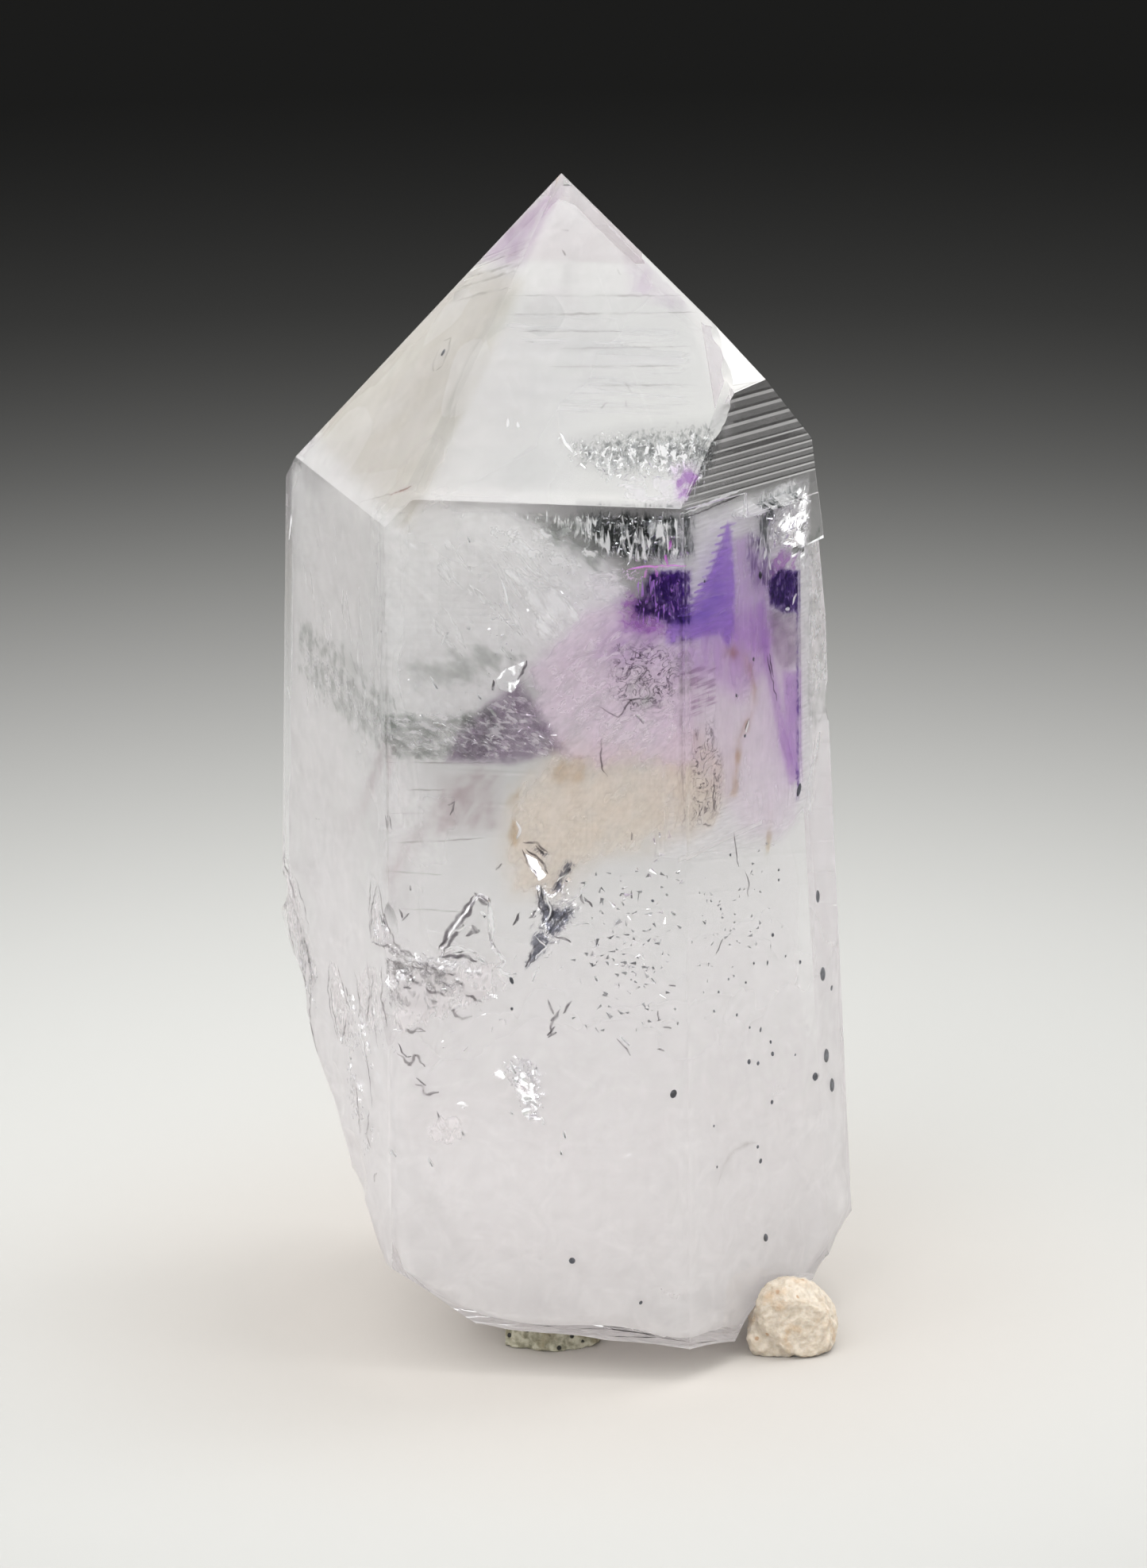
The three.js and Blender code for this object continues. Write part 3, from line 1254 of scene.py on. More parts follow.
@dataclass
class Phantom(Inclusion):
    """A milky growth stage: a closed skin parallel to the crystal's faces, that shows in clouds.

    Lengths are millimetres. The skin's depth swings by the wave, by at most a share of its depth, and it
    keeps another share of its depth where the crystal tapers. Its milkiness is uneven by a noise, whose
    curds are its roughness, the step between its layers and their number.
    """

    name: str
    depth: float
    clouds: Sequence[Cloud]
    finish: Finish
    cell: float = 1.0
    wave: float = 0.8
    wave_length: float = 5.0
    wave_share: float = 0.6
    least_share: float = 0.35
    foot_gap: float = 0.3
    milk_level: float = 0.85
    milk_swing: float = 0.45
    curds: tuple[float, float, int] = (0.9, 2.1, 5)
    faintest: float = 0.02
    seed: int = 1729

    def build(self) -> bpy.types.Object:
        """Models the skin.

        Returns:
            The finished piece.
        """
        piece = self.cut_stage()
        remesh = piece.modifiers.new("cells", "REMESH")
        remesh.mode = "VOXEL"
        remesh.voxel_size = self.cell * MM
        apply_modifier(piece, remesh)
        noise.seed_set(self.seed)
        strengths = []
        for vertex in piece.data.vertices:
            spot = vertex.co / MM
            shifted = spot + Vector((0, 0, SKIN_SHIFT * self.depth))
            swing = noise.noise_vector(shifted / self.wave_length)
            vertex.co += swing * min(self.wave, self.depth * self.wave_share) * MM
            curdle = noise.fractal(spot / self.wave_length, *self.curds)
            uneven = self.milk_level + self.milk_swing * curdle
            strength = min(1.0, max(0.0, uneven * sum(cloud.at(spot) for cloud in self.clouds)))
            strengths.append(strength if strength > self.faintest else 0.0)
        set_strengths(piece, strengths)
        drop_empty_faces(piece)
        sink(piece, self.depth * self.least_share)
        select_only(piece)
        bpy.ops.object.shade_smooth()
        return piece

    def cut_stage(self) -> bpy.types.Object:
        """Cuts a block by every face, each moved inwards by the skin's depth.

        Returns:
            The closed block.
        """
        bpy.ops.mesh.primitive_cube_add(size=4 * TIP_HEIGHT * MM)
        piece = settle(bpy.context.object, self.name)
        planes = [(face.value.spot(0, face.value.height), face.value.out) for face in Face]
        planes.append((Vector((0, 0, (self.foot_gap - self.depth) * MM)), Vector((0, 0, -1))))
        for place, out in planes:
            with editing(piece):
                bpy.ops.mesh.bisect(
                    plane_co=place - out * self.depth * MM,
                    plane_no=out,
                    clear_outer=True,
                    use_fill=True,
                )
        return piece


@dataclass
class Flecks(Inclusion):
    """Many tiny slivers scattered over a patch, as one mesh."""

    name: str
    patch: Patch
    depth: float
    per_square: float
    size: tuple[float, float]
    finish: Finish
    lean: float = 0.0
    slim: float = 0.25
    flat: float = 0.4
    seed: int = 1

    def build(self) -> bpy.types.Object:
        """Models one sliver and scatters its copies.

        Returns:
            All the slivers as one piece.
        """
        piece = self.patch.sheet(self.name, self.depth, self.lean)
        bpy.ops.mesh.primitive_cone_add(vertices=4, radius1=MM / 2, radius2=0, depth=MM)
        sliver = bpy.context.object
        sliver.scale = (self.slim, self.slim * self.flat, 1)
        settle(sliver, "sliver")
        scatter = piece.modifiers.new("scatter", "NODES")
        scatter.node_group = self.scatter_tree(sliver)
        apply_modifier(piece, scatter)
        bpy.data.objects.remove(sliver)
        return piece

    def scatter_tree(self, sliver: bpy.types.Object) -> bpy.types.NodeTree:
        """The node tree that scatters the sliver by the patch's strength.

        Args:
            sliver: The shape to copy.

        Returns:
            The node tree.
        """
        group = bpy.data.node_groups.new(self.name, "GeometryNodeTree")
        for way in ("INPUT", "OUTPUT"):
            group.interface.new_socket("Geometry", in_out=way, socket_type="NodeSocketGeometry")
        wiring = Wiring(group)
        patch = wiring.node("NodeGroupInput").outputs[0]
        strength = wiring.node("GeometryNodeInputNamedAttribute", {"Name": STRENGTH}, data_type="FLOAT")
        density = wiring.math("MULTIPLY", strength.outputs["Attribute"], self.per_square / (MM * MM))
        points = wiring.node(
            "GeometryNodeDistributePointsOnFaces",
            {"Mesh": patch, "Density": density, "Seed": self.seed},
        )
        shape = wiring.node("GeometryNodeObjectInfo", {"Object": sliver})
        turns = {1: (math.tau, math.tau, math.tau)}
        turn = wiring.node("FunctionNodeRandomValue", turns, data_type="FLOAT_VECTOR")
        sizes = {2: self.size[0], 3: self.size[1], "Seed": self.seed}
        size = wiring.node("FunctionNodeRandomValue", sizes, data_type="FLOAT")
        copies = wiring.node(
            "GeometryNodeInstanceOnPoints",
            {
                "Points": points.outputs["Points"],
                "Instance": shape.outputs["Geometry"],
                "Rotation": turn.outputs[0],
                "Scale": size.outputs[1],
            },
        )
        real = wiring.node("GeometryNodeRealizeInstances", {"Geometry": copies.outputs["Instances"]})
        wiring.node("NodeGroupOutput", {0: real.outputs["Geometry"]})
        return group


@dataclass(frozen=True)
class Speck:
    """One dark grain: the face that it lies behind, its spot and depth, and its size in millimetres."""

    face: Face
    across: float
    height: float
    size: float = 0.3
    depth: float = 0.4
    long: float = 1.0


@dataclass
class Specks(Inclusion):
    """The dark grains just under the faces."""

    name: str
    specks: Sequence[Speck]
    finish: Finish
    widths: Spot = (0.7, 1)
    thicknesses: Spot = (0.5, 0.8)
    tilt: float = 0.6
    seed: int = 5

    def build(self) -> bpy.types.Object:
        """Models every grain as a small knobbly ball.

        Returns:
            The finished piece.
        """
        draw = random.Random(self.seed)
        grains = []
        for speck in self.specks:
            bpy.ops.mesh.primitive_ico_sphere_add(subdivisions=2, radius=speck.size / 2 * MM)
            grain = bpy.context.object
            grain.location = speck.face.value.behind(speck.across, speck.height, speck.depth)
            grain.scale = (draw.uniform(*self.widths), draw.uniform(*self.thicknesses), speck.long)
            grain.rotation_euler = (0, draw.uniform(-self.tilt, self.tilt), 0)
            settle(grain, self.name)
            grains.append(grain)
        return join(grains, self.name)


HOLLOW_OUTLINE = (
    (-4.1, 34.1), (-3.3, 33.7), (-3.3, 31.5), (-3.1, 30.4), (-2.4, 29.5), (-3.1, 28.8), (-4.3, 29.8),
    (-5.3, 30.2), (-6.6, 29.6), (-6.7, 30.1), (-6.0, 31.5), (-5.2, 32.6),
)


@dataclass
class NegativeCrystal(Inclusion):
    """A flat hollow with crystal faces, shaped like a letter A without its bar."""

    name: str = "negative_crystal"
    face: Face = Face.FRONT
    corners: Sequence[Spot] = HOLLOW_OUTLINE
    depth: float = 1.6
    thickness: float = 0.9
    bevel: float = 0.16
    finish: BubbleWall = field(default_factory=BubbleWall)

    def build(self) -> bpy.types.Object:
        """Models the hollow as a closed bevelled plate.

        Returns:
            The finished piece.
        """
        count = len(self.corners)
        bpy.ops.mesh.primitive_circle_add(vertices=count, radius=MM, fill_type="NGON")
        piece = settle(bpy.context.object, self.name)
        for vertex, (across, height) in zip(piece.data.vertices, reversed(self.corners)):
            vertex.co = self.face.value.behind(across, height, self.depth)
        with editing(piece):
            inwards = -self.face.value.out * self.thickness * MM
            bpy.ops.mesh.extrude_region_move(TRANSFORM_OT_translate={"value": inwards})
            bpy.ops.mesh.select_all(action="SELECT")
            bpy.ops.mesh.bevel(offset=self.bevel * MM, segments=1, affect="EDGES")
            bpy.ops.mesh.normals_make_consistent(inside=False)
        return piece


# What lies inside this crystal

SOFT_MILK = Haze("soft_milk", Grain(2.6, detail=3, warp=0.8), 0.3, 0.7, 1.0, 0.8, (0.995, 0.982, 0.978))
CLOUDS = (
    Cloud((0, 0, 0), (34, 34, 20), 0.95),
    Cloud((-17, -4, 38), (8, 10, 20), 0.55),
    Cloud((-6, -4, 57), (8, 9, 8), 0.5),
    Cloud((0, -2, 79), (10, 10, 9), 0.45),
    Cloud((-6, -6, 67), (9, 9, 6), 0.2),
)
PHANTOMS = (
    Phantom("outer_phantom", 0.9, CLOUDS, SOFT_MILK),
    Phantom("inner_phantom", 5.0, CLOUDS, SOFT_MILK),
)

P1 = Face.FRONT_LEFT
P2 = Face.FRONT
P3 = Face.FRONT_RIGHT
STRIP = Face.STRIP
TIP_LEFT = Face.TIP_LEFT
TIP_FRONT = Face.TIP_FRONT

# Growth zones, and patches of painted shade

COMB = Grain(0.5, (6, 1, 1), (0, 5, 60), detail=4, warp=0.4)
PURPLE = GrowthTint("purple_growth", (0.58, 0.39, 0.84), COMB, 0.3, 0.62, 0.3, 0.5, (0.74, 0.54, 0.98))
PURPLE_HEART = GrowthTint("purple_heart", (0.5, 0.32, 0.82), COMB, 0.36, 0.62, 0.1)
DEEP_PURPLE = GrowthTint("deep_purple_growth", (0.2, 0.07, 0.42), Grain(0.5, (1, 1, 1.8), detail=4, warp=1.6),
                         0.34, 0.6, 0.2)
MAGENTA_VIOLET = GrowthTint("magenta_violet_growth", (0.62, 0.36, 0.74), Grain(0.7, detail=4, warp=1.2),
                            0.36, 0.62, 0.1, 0.35, (0.8, 0.5, 0.9))
PINK_VIOLET = GrowthTint("pink_violet_growth", (0.7, 0.5, 0.82), Grain(1.2, (1, 1, 3), detail=4, warp=0.4),
                         milk=0.45, glow=(0.88, 0.7, 0.98))
PALE_VIOLET = GrowthTint("pale_violet_growth", (0.97, 0.92, 0.975), Grain(1.6, (1, 1, 3), detail=4), milk=0.5,
                         glow=(0.98, 0.91, 0.97))
LILAC = GrowthTint(
    "lilac_growth", (0.91, 0.82, 0.925), Grain(0.9, (2.5, 1, 1), (0, -42, 0), detail=5, warp=0.2), 0.34, 0.62,
    0.15, 0.7, (1, 0.925, 0.98),
)
GREY_VIOLET = GrowthTint("grey_violet_growth", (0.68, 0.61, 0.7), Grain(0.7, detail=5, warp=0.4), floor=0.3)
BROWN = GrowthTint(
    "smoky_growth", (0.945, 0.895, 0.825), Grain(1.4, (1, 1, 1.6), (0, 28, 0), detail=6, warp=0.1), 0.34,
    0.62, 0.15, 0.6, (1, 0.955, 0.9),
)
UMBER = GrowthTint(
    "umber_growth", (0.78, 0.68, 0.55), Grain(1.0, (1, 1, 1.6), (0, 24, 0), detail=6, warp=0.1), 0.4, 0.62,
    0.05,
)
HATCH = GrowthTint(
    "growth_hatch", (0.66, 0.56, 0.66), Grain(0.2, (14, 1, 1), (0, 3, 60), detail=3), 0.48, 0.62, 0.0,
)
# Painted shade: a grey tint where the crystal only looks darker, under the tip's edge, across the front and
# left faces and in the front face's right corner; on the narrow strip it is a random grey mottle.
GREY_MOTTLE_AND_PAINTED_SHADE = GrowthTint(
    "grey_mottle_and_painted_shade", (0.72, 0.735, 0.72), Grain(0.7, (1.8, 1, 1), (0, 40, 0), detail=6, warp=0.3), 0.4, 0.62,
    0.0,
)
BEIGE = GrowthTint(
    "beige_growth", (0.885, 0.87, 0.83), Grain(2.0, (1, 1, 3), (0, 35, -60), detail=4, warp=0.2), 0.34, 0.66,
    0.65,
)
PALE_LILAC = GrowthTint(
    "pale_lilac_growth", (0.84, 0.75, 0.86), Grain(1.4, detail=4, warp=0.8), 0.36, 0.64, 0.35,
)
SMOKE_LILAC = GrowthTint(
    "smoke_lilac_growth", (0.84, 0.79, 0.8), Grain(1.0, (1, 1, 2), (0, 35, 0), detail=5, warp=0.9), 0.38,
    0.64, 0.25,
)
# Painted shade: a faint even grey that darkens the tip's front face.
TIP_SHADE = GrowthTint("tip_shade", (0.84, 0.85, 0.85), Grain(3.5, (2, 1, 1), detail=4), 0.3, 0.7, 0.6)

ZONES = (
    Layers("violet_wedge", Patch(P3, (
        (-2.6, 59.8), (-3.6, 58.2), (-4.7, 56.6), (-6.4, 55.1), (-7.3, 54.2), (-8.4, 53.9), (-8.4, 52.2),
        (-5.2, 52), (-3.6, 51.6), (-2.6, 50.2), (-1.9, 51.6), (-1.7, 54.5), (-2, 58.4),
    ), 0.55, 0.16), (0.9, 1.5), PURPLE),
    Layers("violet_heart", Patch(P3, (
        (-7.4, 53.6), (-5.6, 55), (-3.6, 56.6), (-2.6, 55.2), (-2.4, 52.6), (-7.6, 52.8),
    ), 0.8, 0.16), (1.2,), PURPLE_HEART),
    Layers("violet_fade", Patch(P3, (
        (-7.9, 53.8), (-2.2, 54.2), (1.4, 52), (2.4, 47.6), (-1.4, 45.8), (-5, 48.4), (-7.9, 50),
    ), 2.4, 0.2), (1.0,), PINK_VIOLET),
    Layers("violet_shoulder", Patch(P3, (
        (-2.3, 58.4), (-0.4, 58.2), (1.6, 55.6), (2.4, 53), (2.6, 49.4), (0.6, 48.8), (-2.4, 51),
    ), 1.0, 0.22), (1.0,), PINK_VIOLET),
    Layers("violet_cap", Patch(P3, (
        (1.4, 55.6), (3.4, 56.2), (5.3, 55.2), (5.3, 53.4), (1.8, 53.6),
    ), 0.7, 0.2), (0.9,), MAGENTA_VIOLET),
    Layers("dark_block_right", Patch(P3, (
        (1.6, 54.2), (3.2, 54.7), (5.2, 53.9), (5.2, 50.7), (3.4, 51.2), (1.8, 52.2),
    ), 0.35, 0.16), (0.6, 1.0, 1.4), DEEP_PURPLE),
    Layers("grey_violet_block", Patch(P3, (
        (1.5, 52.2), (5.2, 50.9), (5.2, 46.8), (3, 47.5), (2.2, 48.8),
    ), 0.4, 0.25), (0.8, 1.5), GREY_VIOLET),
    Layers("violet_edge_strip", Patch(P3, (
        (3, 47.6), (5.3, 46.9), (5.3, 38.4), (4.3, 39.8), (3.5, 42.3),
    ), 0.7, 0.2), (0.8, 1.5), PINK_VIOLET),
    Layers(
        "dark_edge_line", Patch(P3, band(((4.95, 54), (4.95, 46), (4.85, 37.6)), 0.6), 0.3, 0.12), (0.45,),
        DEEP_PURPLE,
    ),
    Layers("violet_stripe", Patch(P3, band((
        (0.8, 53), (1.3, 50.2), (2.3, 46.4), (3.3, 42.6), (4.5, 38.9),
    ), 1.3), 0.6, 0.2), (1.2, 1.9), PINK_VIOLET),
    Layers("pale_violet_zone", Patch(P3, (
        (-7.8, 52.5), (-4, 51.8), (1, 52.6), (5.3, 50), (5.3, 36), (3, 35), (-1.5, 37), (-4.5, 41),
        (-7.8, 44),
    ), 1.8, 0.4, 0.6), (1.2, 3), PALE_VIOLET),
    Layers("smoky_zone_right", Patch(P3, (
        (-7.8, 47), (-5.2, 46.2), (-3, 43.5), (-2.4, 39.8), (-4.4, 37.9), (-7.8, 38.2),
    ), 1.5, 0.35, 0.5), (1.2, 2.2), BROWN),
    Layers("smoky_arch", Patch(P3, band((
        (-3.6, 50.3), (-2.2, 50.3), (-0.5, 48.9), (0.3, 46.9), (-0.2, 45.3), (-1.6, 43.8), (-2.1, 41.4),
        (-2.3, 39.6),
    ), 1.7), 0.75, 0.2), (0.8, 1.5), UMBER),
    Layers("growth_hatch", Patch(P3, (
        (-7.6, 51.4), (-3.2, 50.6), (-3.4, 46), (-7.6, 46.4),
    ), 1.0, 0.25), (0.7,), HATCH),
    Layers("smoky_spots", Patch(P3, (
        (1.4, 38.4), (2.6, 38.2), (2.4, 35), (1.2, 33.6), (0.6, 35.2),
    ), 0.8, 0.25), (1.0,), UMBER),
    Layers("dark_block_front", Patch(P2, (
        (7.3, 57.5), (10.3, 57.7), (10.3, 53.4), (8.8, 53.3), (7.6, 53.9), (6.7, 53.7), (6.2, 54.8),
        (6.9, 55.9),
    ), 0.55, 0.14), (0.5, 0.9, 1.3), DEEP_PURPLE),
    Layers("violet_bloom", Patch(P2, (
        (4.8, 55.2), (6, 56.3), (7.6, 56.2), (9.2, 54.2), (9.6, 52.6), (7.4, 52.2), (5.4, 52.8),
    ), 1.0, 0.2), (0.8, 1.5), MAGENTA_VIOLET),
    Layers("lilac_wedge", Patch(P2, (
        (3.4, 55), (5.3, 55.2), (7.2, 53.8), (10.3, 53.4), (10.3, 43.2), (6.5, 43.4), (3.6, 43), (1.2, 44),
        (-0.6, 47.2), (-1, 50.2), (1.2, 52.6),
    ), 0.9, 0.3, 0.5), (1, 2.4), LILAC),
    Layers("violet_wedge_top", Patch(P2, (
        (4.6, 54.6), (7, 54.4), (8.6, 53.2), (8.2, 50.6), (6, 50.2), (3.2, 50.8),
    ), 1.4, 0.25, 0.4), (1.8,), PINK_VIOLET),
    # Painted shade: grey in the front face's corner by its right edge.
    Layers("grey_corner_painted_shade", Patch(P2, (
        (8.7, 53), (10.3, 53.4), (10.3, 48.2), (9.2, 48.6), (8.8, 50.4),
    ), 0.5, 0.2), (0.9, 1.5), GREY_MOTTLE_AND_PAINTED_SHADE),
    Layers("smoky_triangle", Patch(P2, (
        (-1.2, 49.9), (0.4, 47.2), (2.3, 44.4), (-1.6, 43.1), (-6.6, 43.1), (-5.4, 46), (-2.8, 48.4),
    ), 0.8, 0.22), (0.8, 1.6, 2.4), GREY_VIOLET),
    Layers("smoky_zone", Patch(P2, (
        (0.6, 45.6), (3.6, 46.2), (8, 45.4), (10.3, 45), (10.3, 38.5), (7.5, 36.6), (4.4, 36.2), (1.6, 33.2),
        (-2.4, 33.2), (-3.6, 37.5), (-2.2, 42),
    ), 2.4, 0.4, 0.6), (1.6, 3.0, 4.4), BROWN),
    Layers("smoky_heart", Patch(P2, (
        (0.6, 46), (3.8, 45.8), (5, 43.2), (2.6, 40.8), (-0.4, 41.6),
    ), 1.5, 0.25), (2.0,), UMBER),
    Layers("smoky_left_edge", Patch(P2, (
        (-2.4, 42.6), (-0.6, 42.8), (-0.2, 37.8), (-1.8, 35.2), (-2.8, 38.4),
    ), 1.1, 0.25), (1.5,), UMBER),
    Layers("smoky_streak", Patch(P2, band((
        (-3.4, 43.4), (-6.2, 40.6), (-8.6, 37.4), (-10.4, 34),
    ), 1.8), 0.9, 0.25), (1.0,), SMOKE_LILAC),
    Layers("smoky_streak_left", Patch(P1, band((
        (7.4, 45.2), (5.8, 42.4), (3.6, 39.4), (0.4, 36.2),
    ), 1.9), 0.9, 0.25), (1.0,), SMOKE_LILAC),
    Layers("lilac_haze_left", Patch(P2, (
        (-7, 42.8), (-2, 43.2), (-2.2, 38.4), (-7.4, 37.6),
    ), 1.2, 0.3), (0.9, 1.8), SMOKE_LILAC),
    Layers("tip_left_lilac", Patch(TIP_LEFT, (
        (0.2, 79.6), (-3.6, 73.4), (2.4, 74.6), (0.8, 79.6),
    ), 0.7, 0.2, 0.2), (0.6, 1.2), PALE_LILAC),
    Layers("tip_left_beige", Patch(TIP_LEFT, (
        (-3, 73.6), (3.4, 74.6), (8.6, 63), (8.8, 60), (-6, 60.8), (-9.9, 62), (-7.4, 66.4),
    ), 1.2, 0.35, 0.3), (0.9, 1.6), BEIGE),
    Layers("tip_front_lilac_spots", Patch(TIP_FRONT, (
        (4.4, 75.8), (6, 76), (9.2, 73.4), (9.6, 72.2), (4.8, 73.2),
    ), 0.9, 0.2, 0.2), (0.9,), PALE_LILAC),
    # Painted shade over the tip's front face.
    Layers("tip_front_shade", Patch(TIP_FRONT, (
        (-3.4, 73.4), (8.8, 73.6), (12.4, 66.6), (12.4, 62.2), (-9.2, 62.2),
    ), 0.8, 0.4, 0.3), (1.1,), TIP_SHADE),
)

# Veils, with patches of painted shade and a painted highlight

BRUSHED = Haze(
    "brushed_veil", Grain(0.6, (7, 1, 1), (0, 54, 0), detail=5, warp=0.3), 0.56, 0.7, 0.7, 0.0, (1, 1, 1),
    0.2,
)
BRUSHED_UP = Haze(
    "brushed_left_veil", Grain(0.6, (1, 1, 7), (0, -12, -60), detail=5, warp=0.3), 0.56, 0.72, 0.5, 0.0,
    (1, 1, 1), 0.2,
)
BRUSHED_RIGHT = Haze(
    "brushed_right_veil", Grain(0.34, (9, 1, 1), (0, 5, 60), detail=4, warp=0.2), 0.36, 0.64, 0.85, 0.48,
    (1, 1, 1), 0.3,
)
CLOUDY = Haze("cloudy_veil", Grain(2.6, (1.6, 1, 1), (0, 45, 0), detail=6, warp=0.2), 0.32, 0.62, 0.85, 0.36,
              (0.99, 0.99, 0.985), 0.35)
THIN_CLOUD = Haze(
    "thin_cloud_veil", Grain(2.6, (1.6, 1, 1), (0, 45, 0), detail=5, warp=0.2), 0.36, 0.66, 0.6, 0.12,
    (0.99, 0.99, 0.985), 0.4,
)
SPOTTY = Haze(
    "spotty_veil", Grain(0.7, (1.4, 1, 1), (0, 40, 0), detail=5, warp=0.3), 0.52, 0.62, 0.95, 0.0, (1, 1, 1),
    0.1,
)
STRANDS = Haze(
    "hanging_strands", Grain(0.34, (1, 1, 4.5), detail=5, warp=0.9), 0.5, 0.6, 1.0, 0.0, (1, 1, 1), 0.1,
)
# Painted highlight: a white sheet, lit only from its front, for the soft glare under the right tip face.
CREST_PAINTED_HIGHLIGHT = Haze(
    "crest_painted_highlight", Grain(1.5, (1, 1, 2.2), (0, 28, 60), detail=5, warp=0.8), 0.4, 0.58, 1.0, 0.0, (1, 1, 1),
    0.0,
)
WHITE_DRIFT = Haze(
    "white_drift", Grain(1.2, (2, 1, 1), (0, 45, 0), detail=6, warp=0.3), 0.42, 0.6, 1.0, 0.05, (1, 1, 1),
    0.1,
)
WHITE_PATCH = Haze(
    "white_patch", Grain(0.7, (1.6, 1, 1), detail=5, warp=0.8), 0.4, 0.58, 0.8, 0.1, (1, 0.98, 1), 0.3,
)
BRIGHT_FILM = CrackFilm("bright_crack_film", Grain(0.7, detail=4, warp=0.8), 0.3, 0.42, 1.0, 0.22, (1, 1, 1))
WHITE_LINE = Haze("white_line", Grain(1.5), 0.3, 0.6, 1.0, 0.7, (1, 1, 1))
MAGENTA_LINE = Haze("magenta_line", Grain(0.5), 0.2, 0.4, 1.0, 0.8, (0.98, 0.42, 1.0), 0.1)
VIOLET_FIBRES = Haze("violet_fibres", Grain(0.26, (1, 1, 4.5), detail=4, warp=1.2), 0.52, 0.62, 0.8, 0.0,
                     (0.6, 0.3, 0.86), 0.2)
PINK_FUZZ = Haze("pink_fuzz", Grain(0.4, detail=4, warp=2.0), 0.46, 0.58, 0.95, 0.0, (0.95, 0.78, 0.98))
BANDED = Haze("growth_bands", Grain(0.4, (30, 30, 1), detail=3), 0.5, 0.6, 0.4)
# Painted shade: dark grey streaks among the strands, where the crystal looks dark.
PAINTED_SHADE_STRANDS = GrowthTint(
    "painted_shade_strands", (0.3, 0.32, 0.32), Grain(0.3, (1, 1, 4), detail=4, warp=0.7), 0.38, 0.6, 0.12,
)
HEALED_LINES = Squiggles("healed_lines", Grain(1.1, detail=4, warp=1.8), 0.035, (0.1, 0.07, 0.11))
LACE = Haze(
    "lace_veil", Grain(0.36, (2.2, 1, 1), (0, 20, 0), detail=5, warp=0.7), 0.5, 0.62, 0.55, 0.0, (1, 0.98, 1),
    0.2,
)
PINK_LACE = Haze(
    "pink_lace_veil", Grain(0.5, (2, 1, 1), (0, -40, 0), detail=5, warp=0.6), 0.5, 0.62, 0.6, 0.0,
    (1, 0.94, 0.98), 0.3,
)
VIOLET_STRANDS = GrowthTint(
    "violet_strands", (0.52, 0.44, 0.62), Grain(0.34, (1, 1, 4), detail=5, warp=0.9), 0.42, 0.6, 0.1,
)

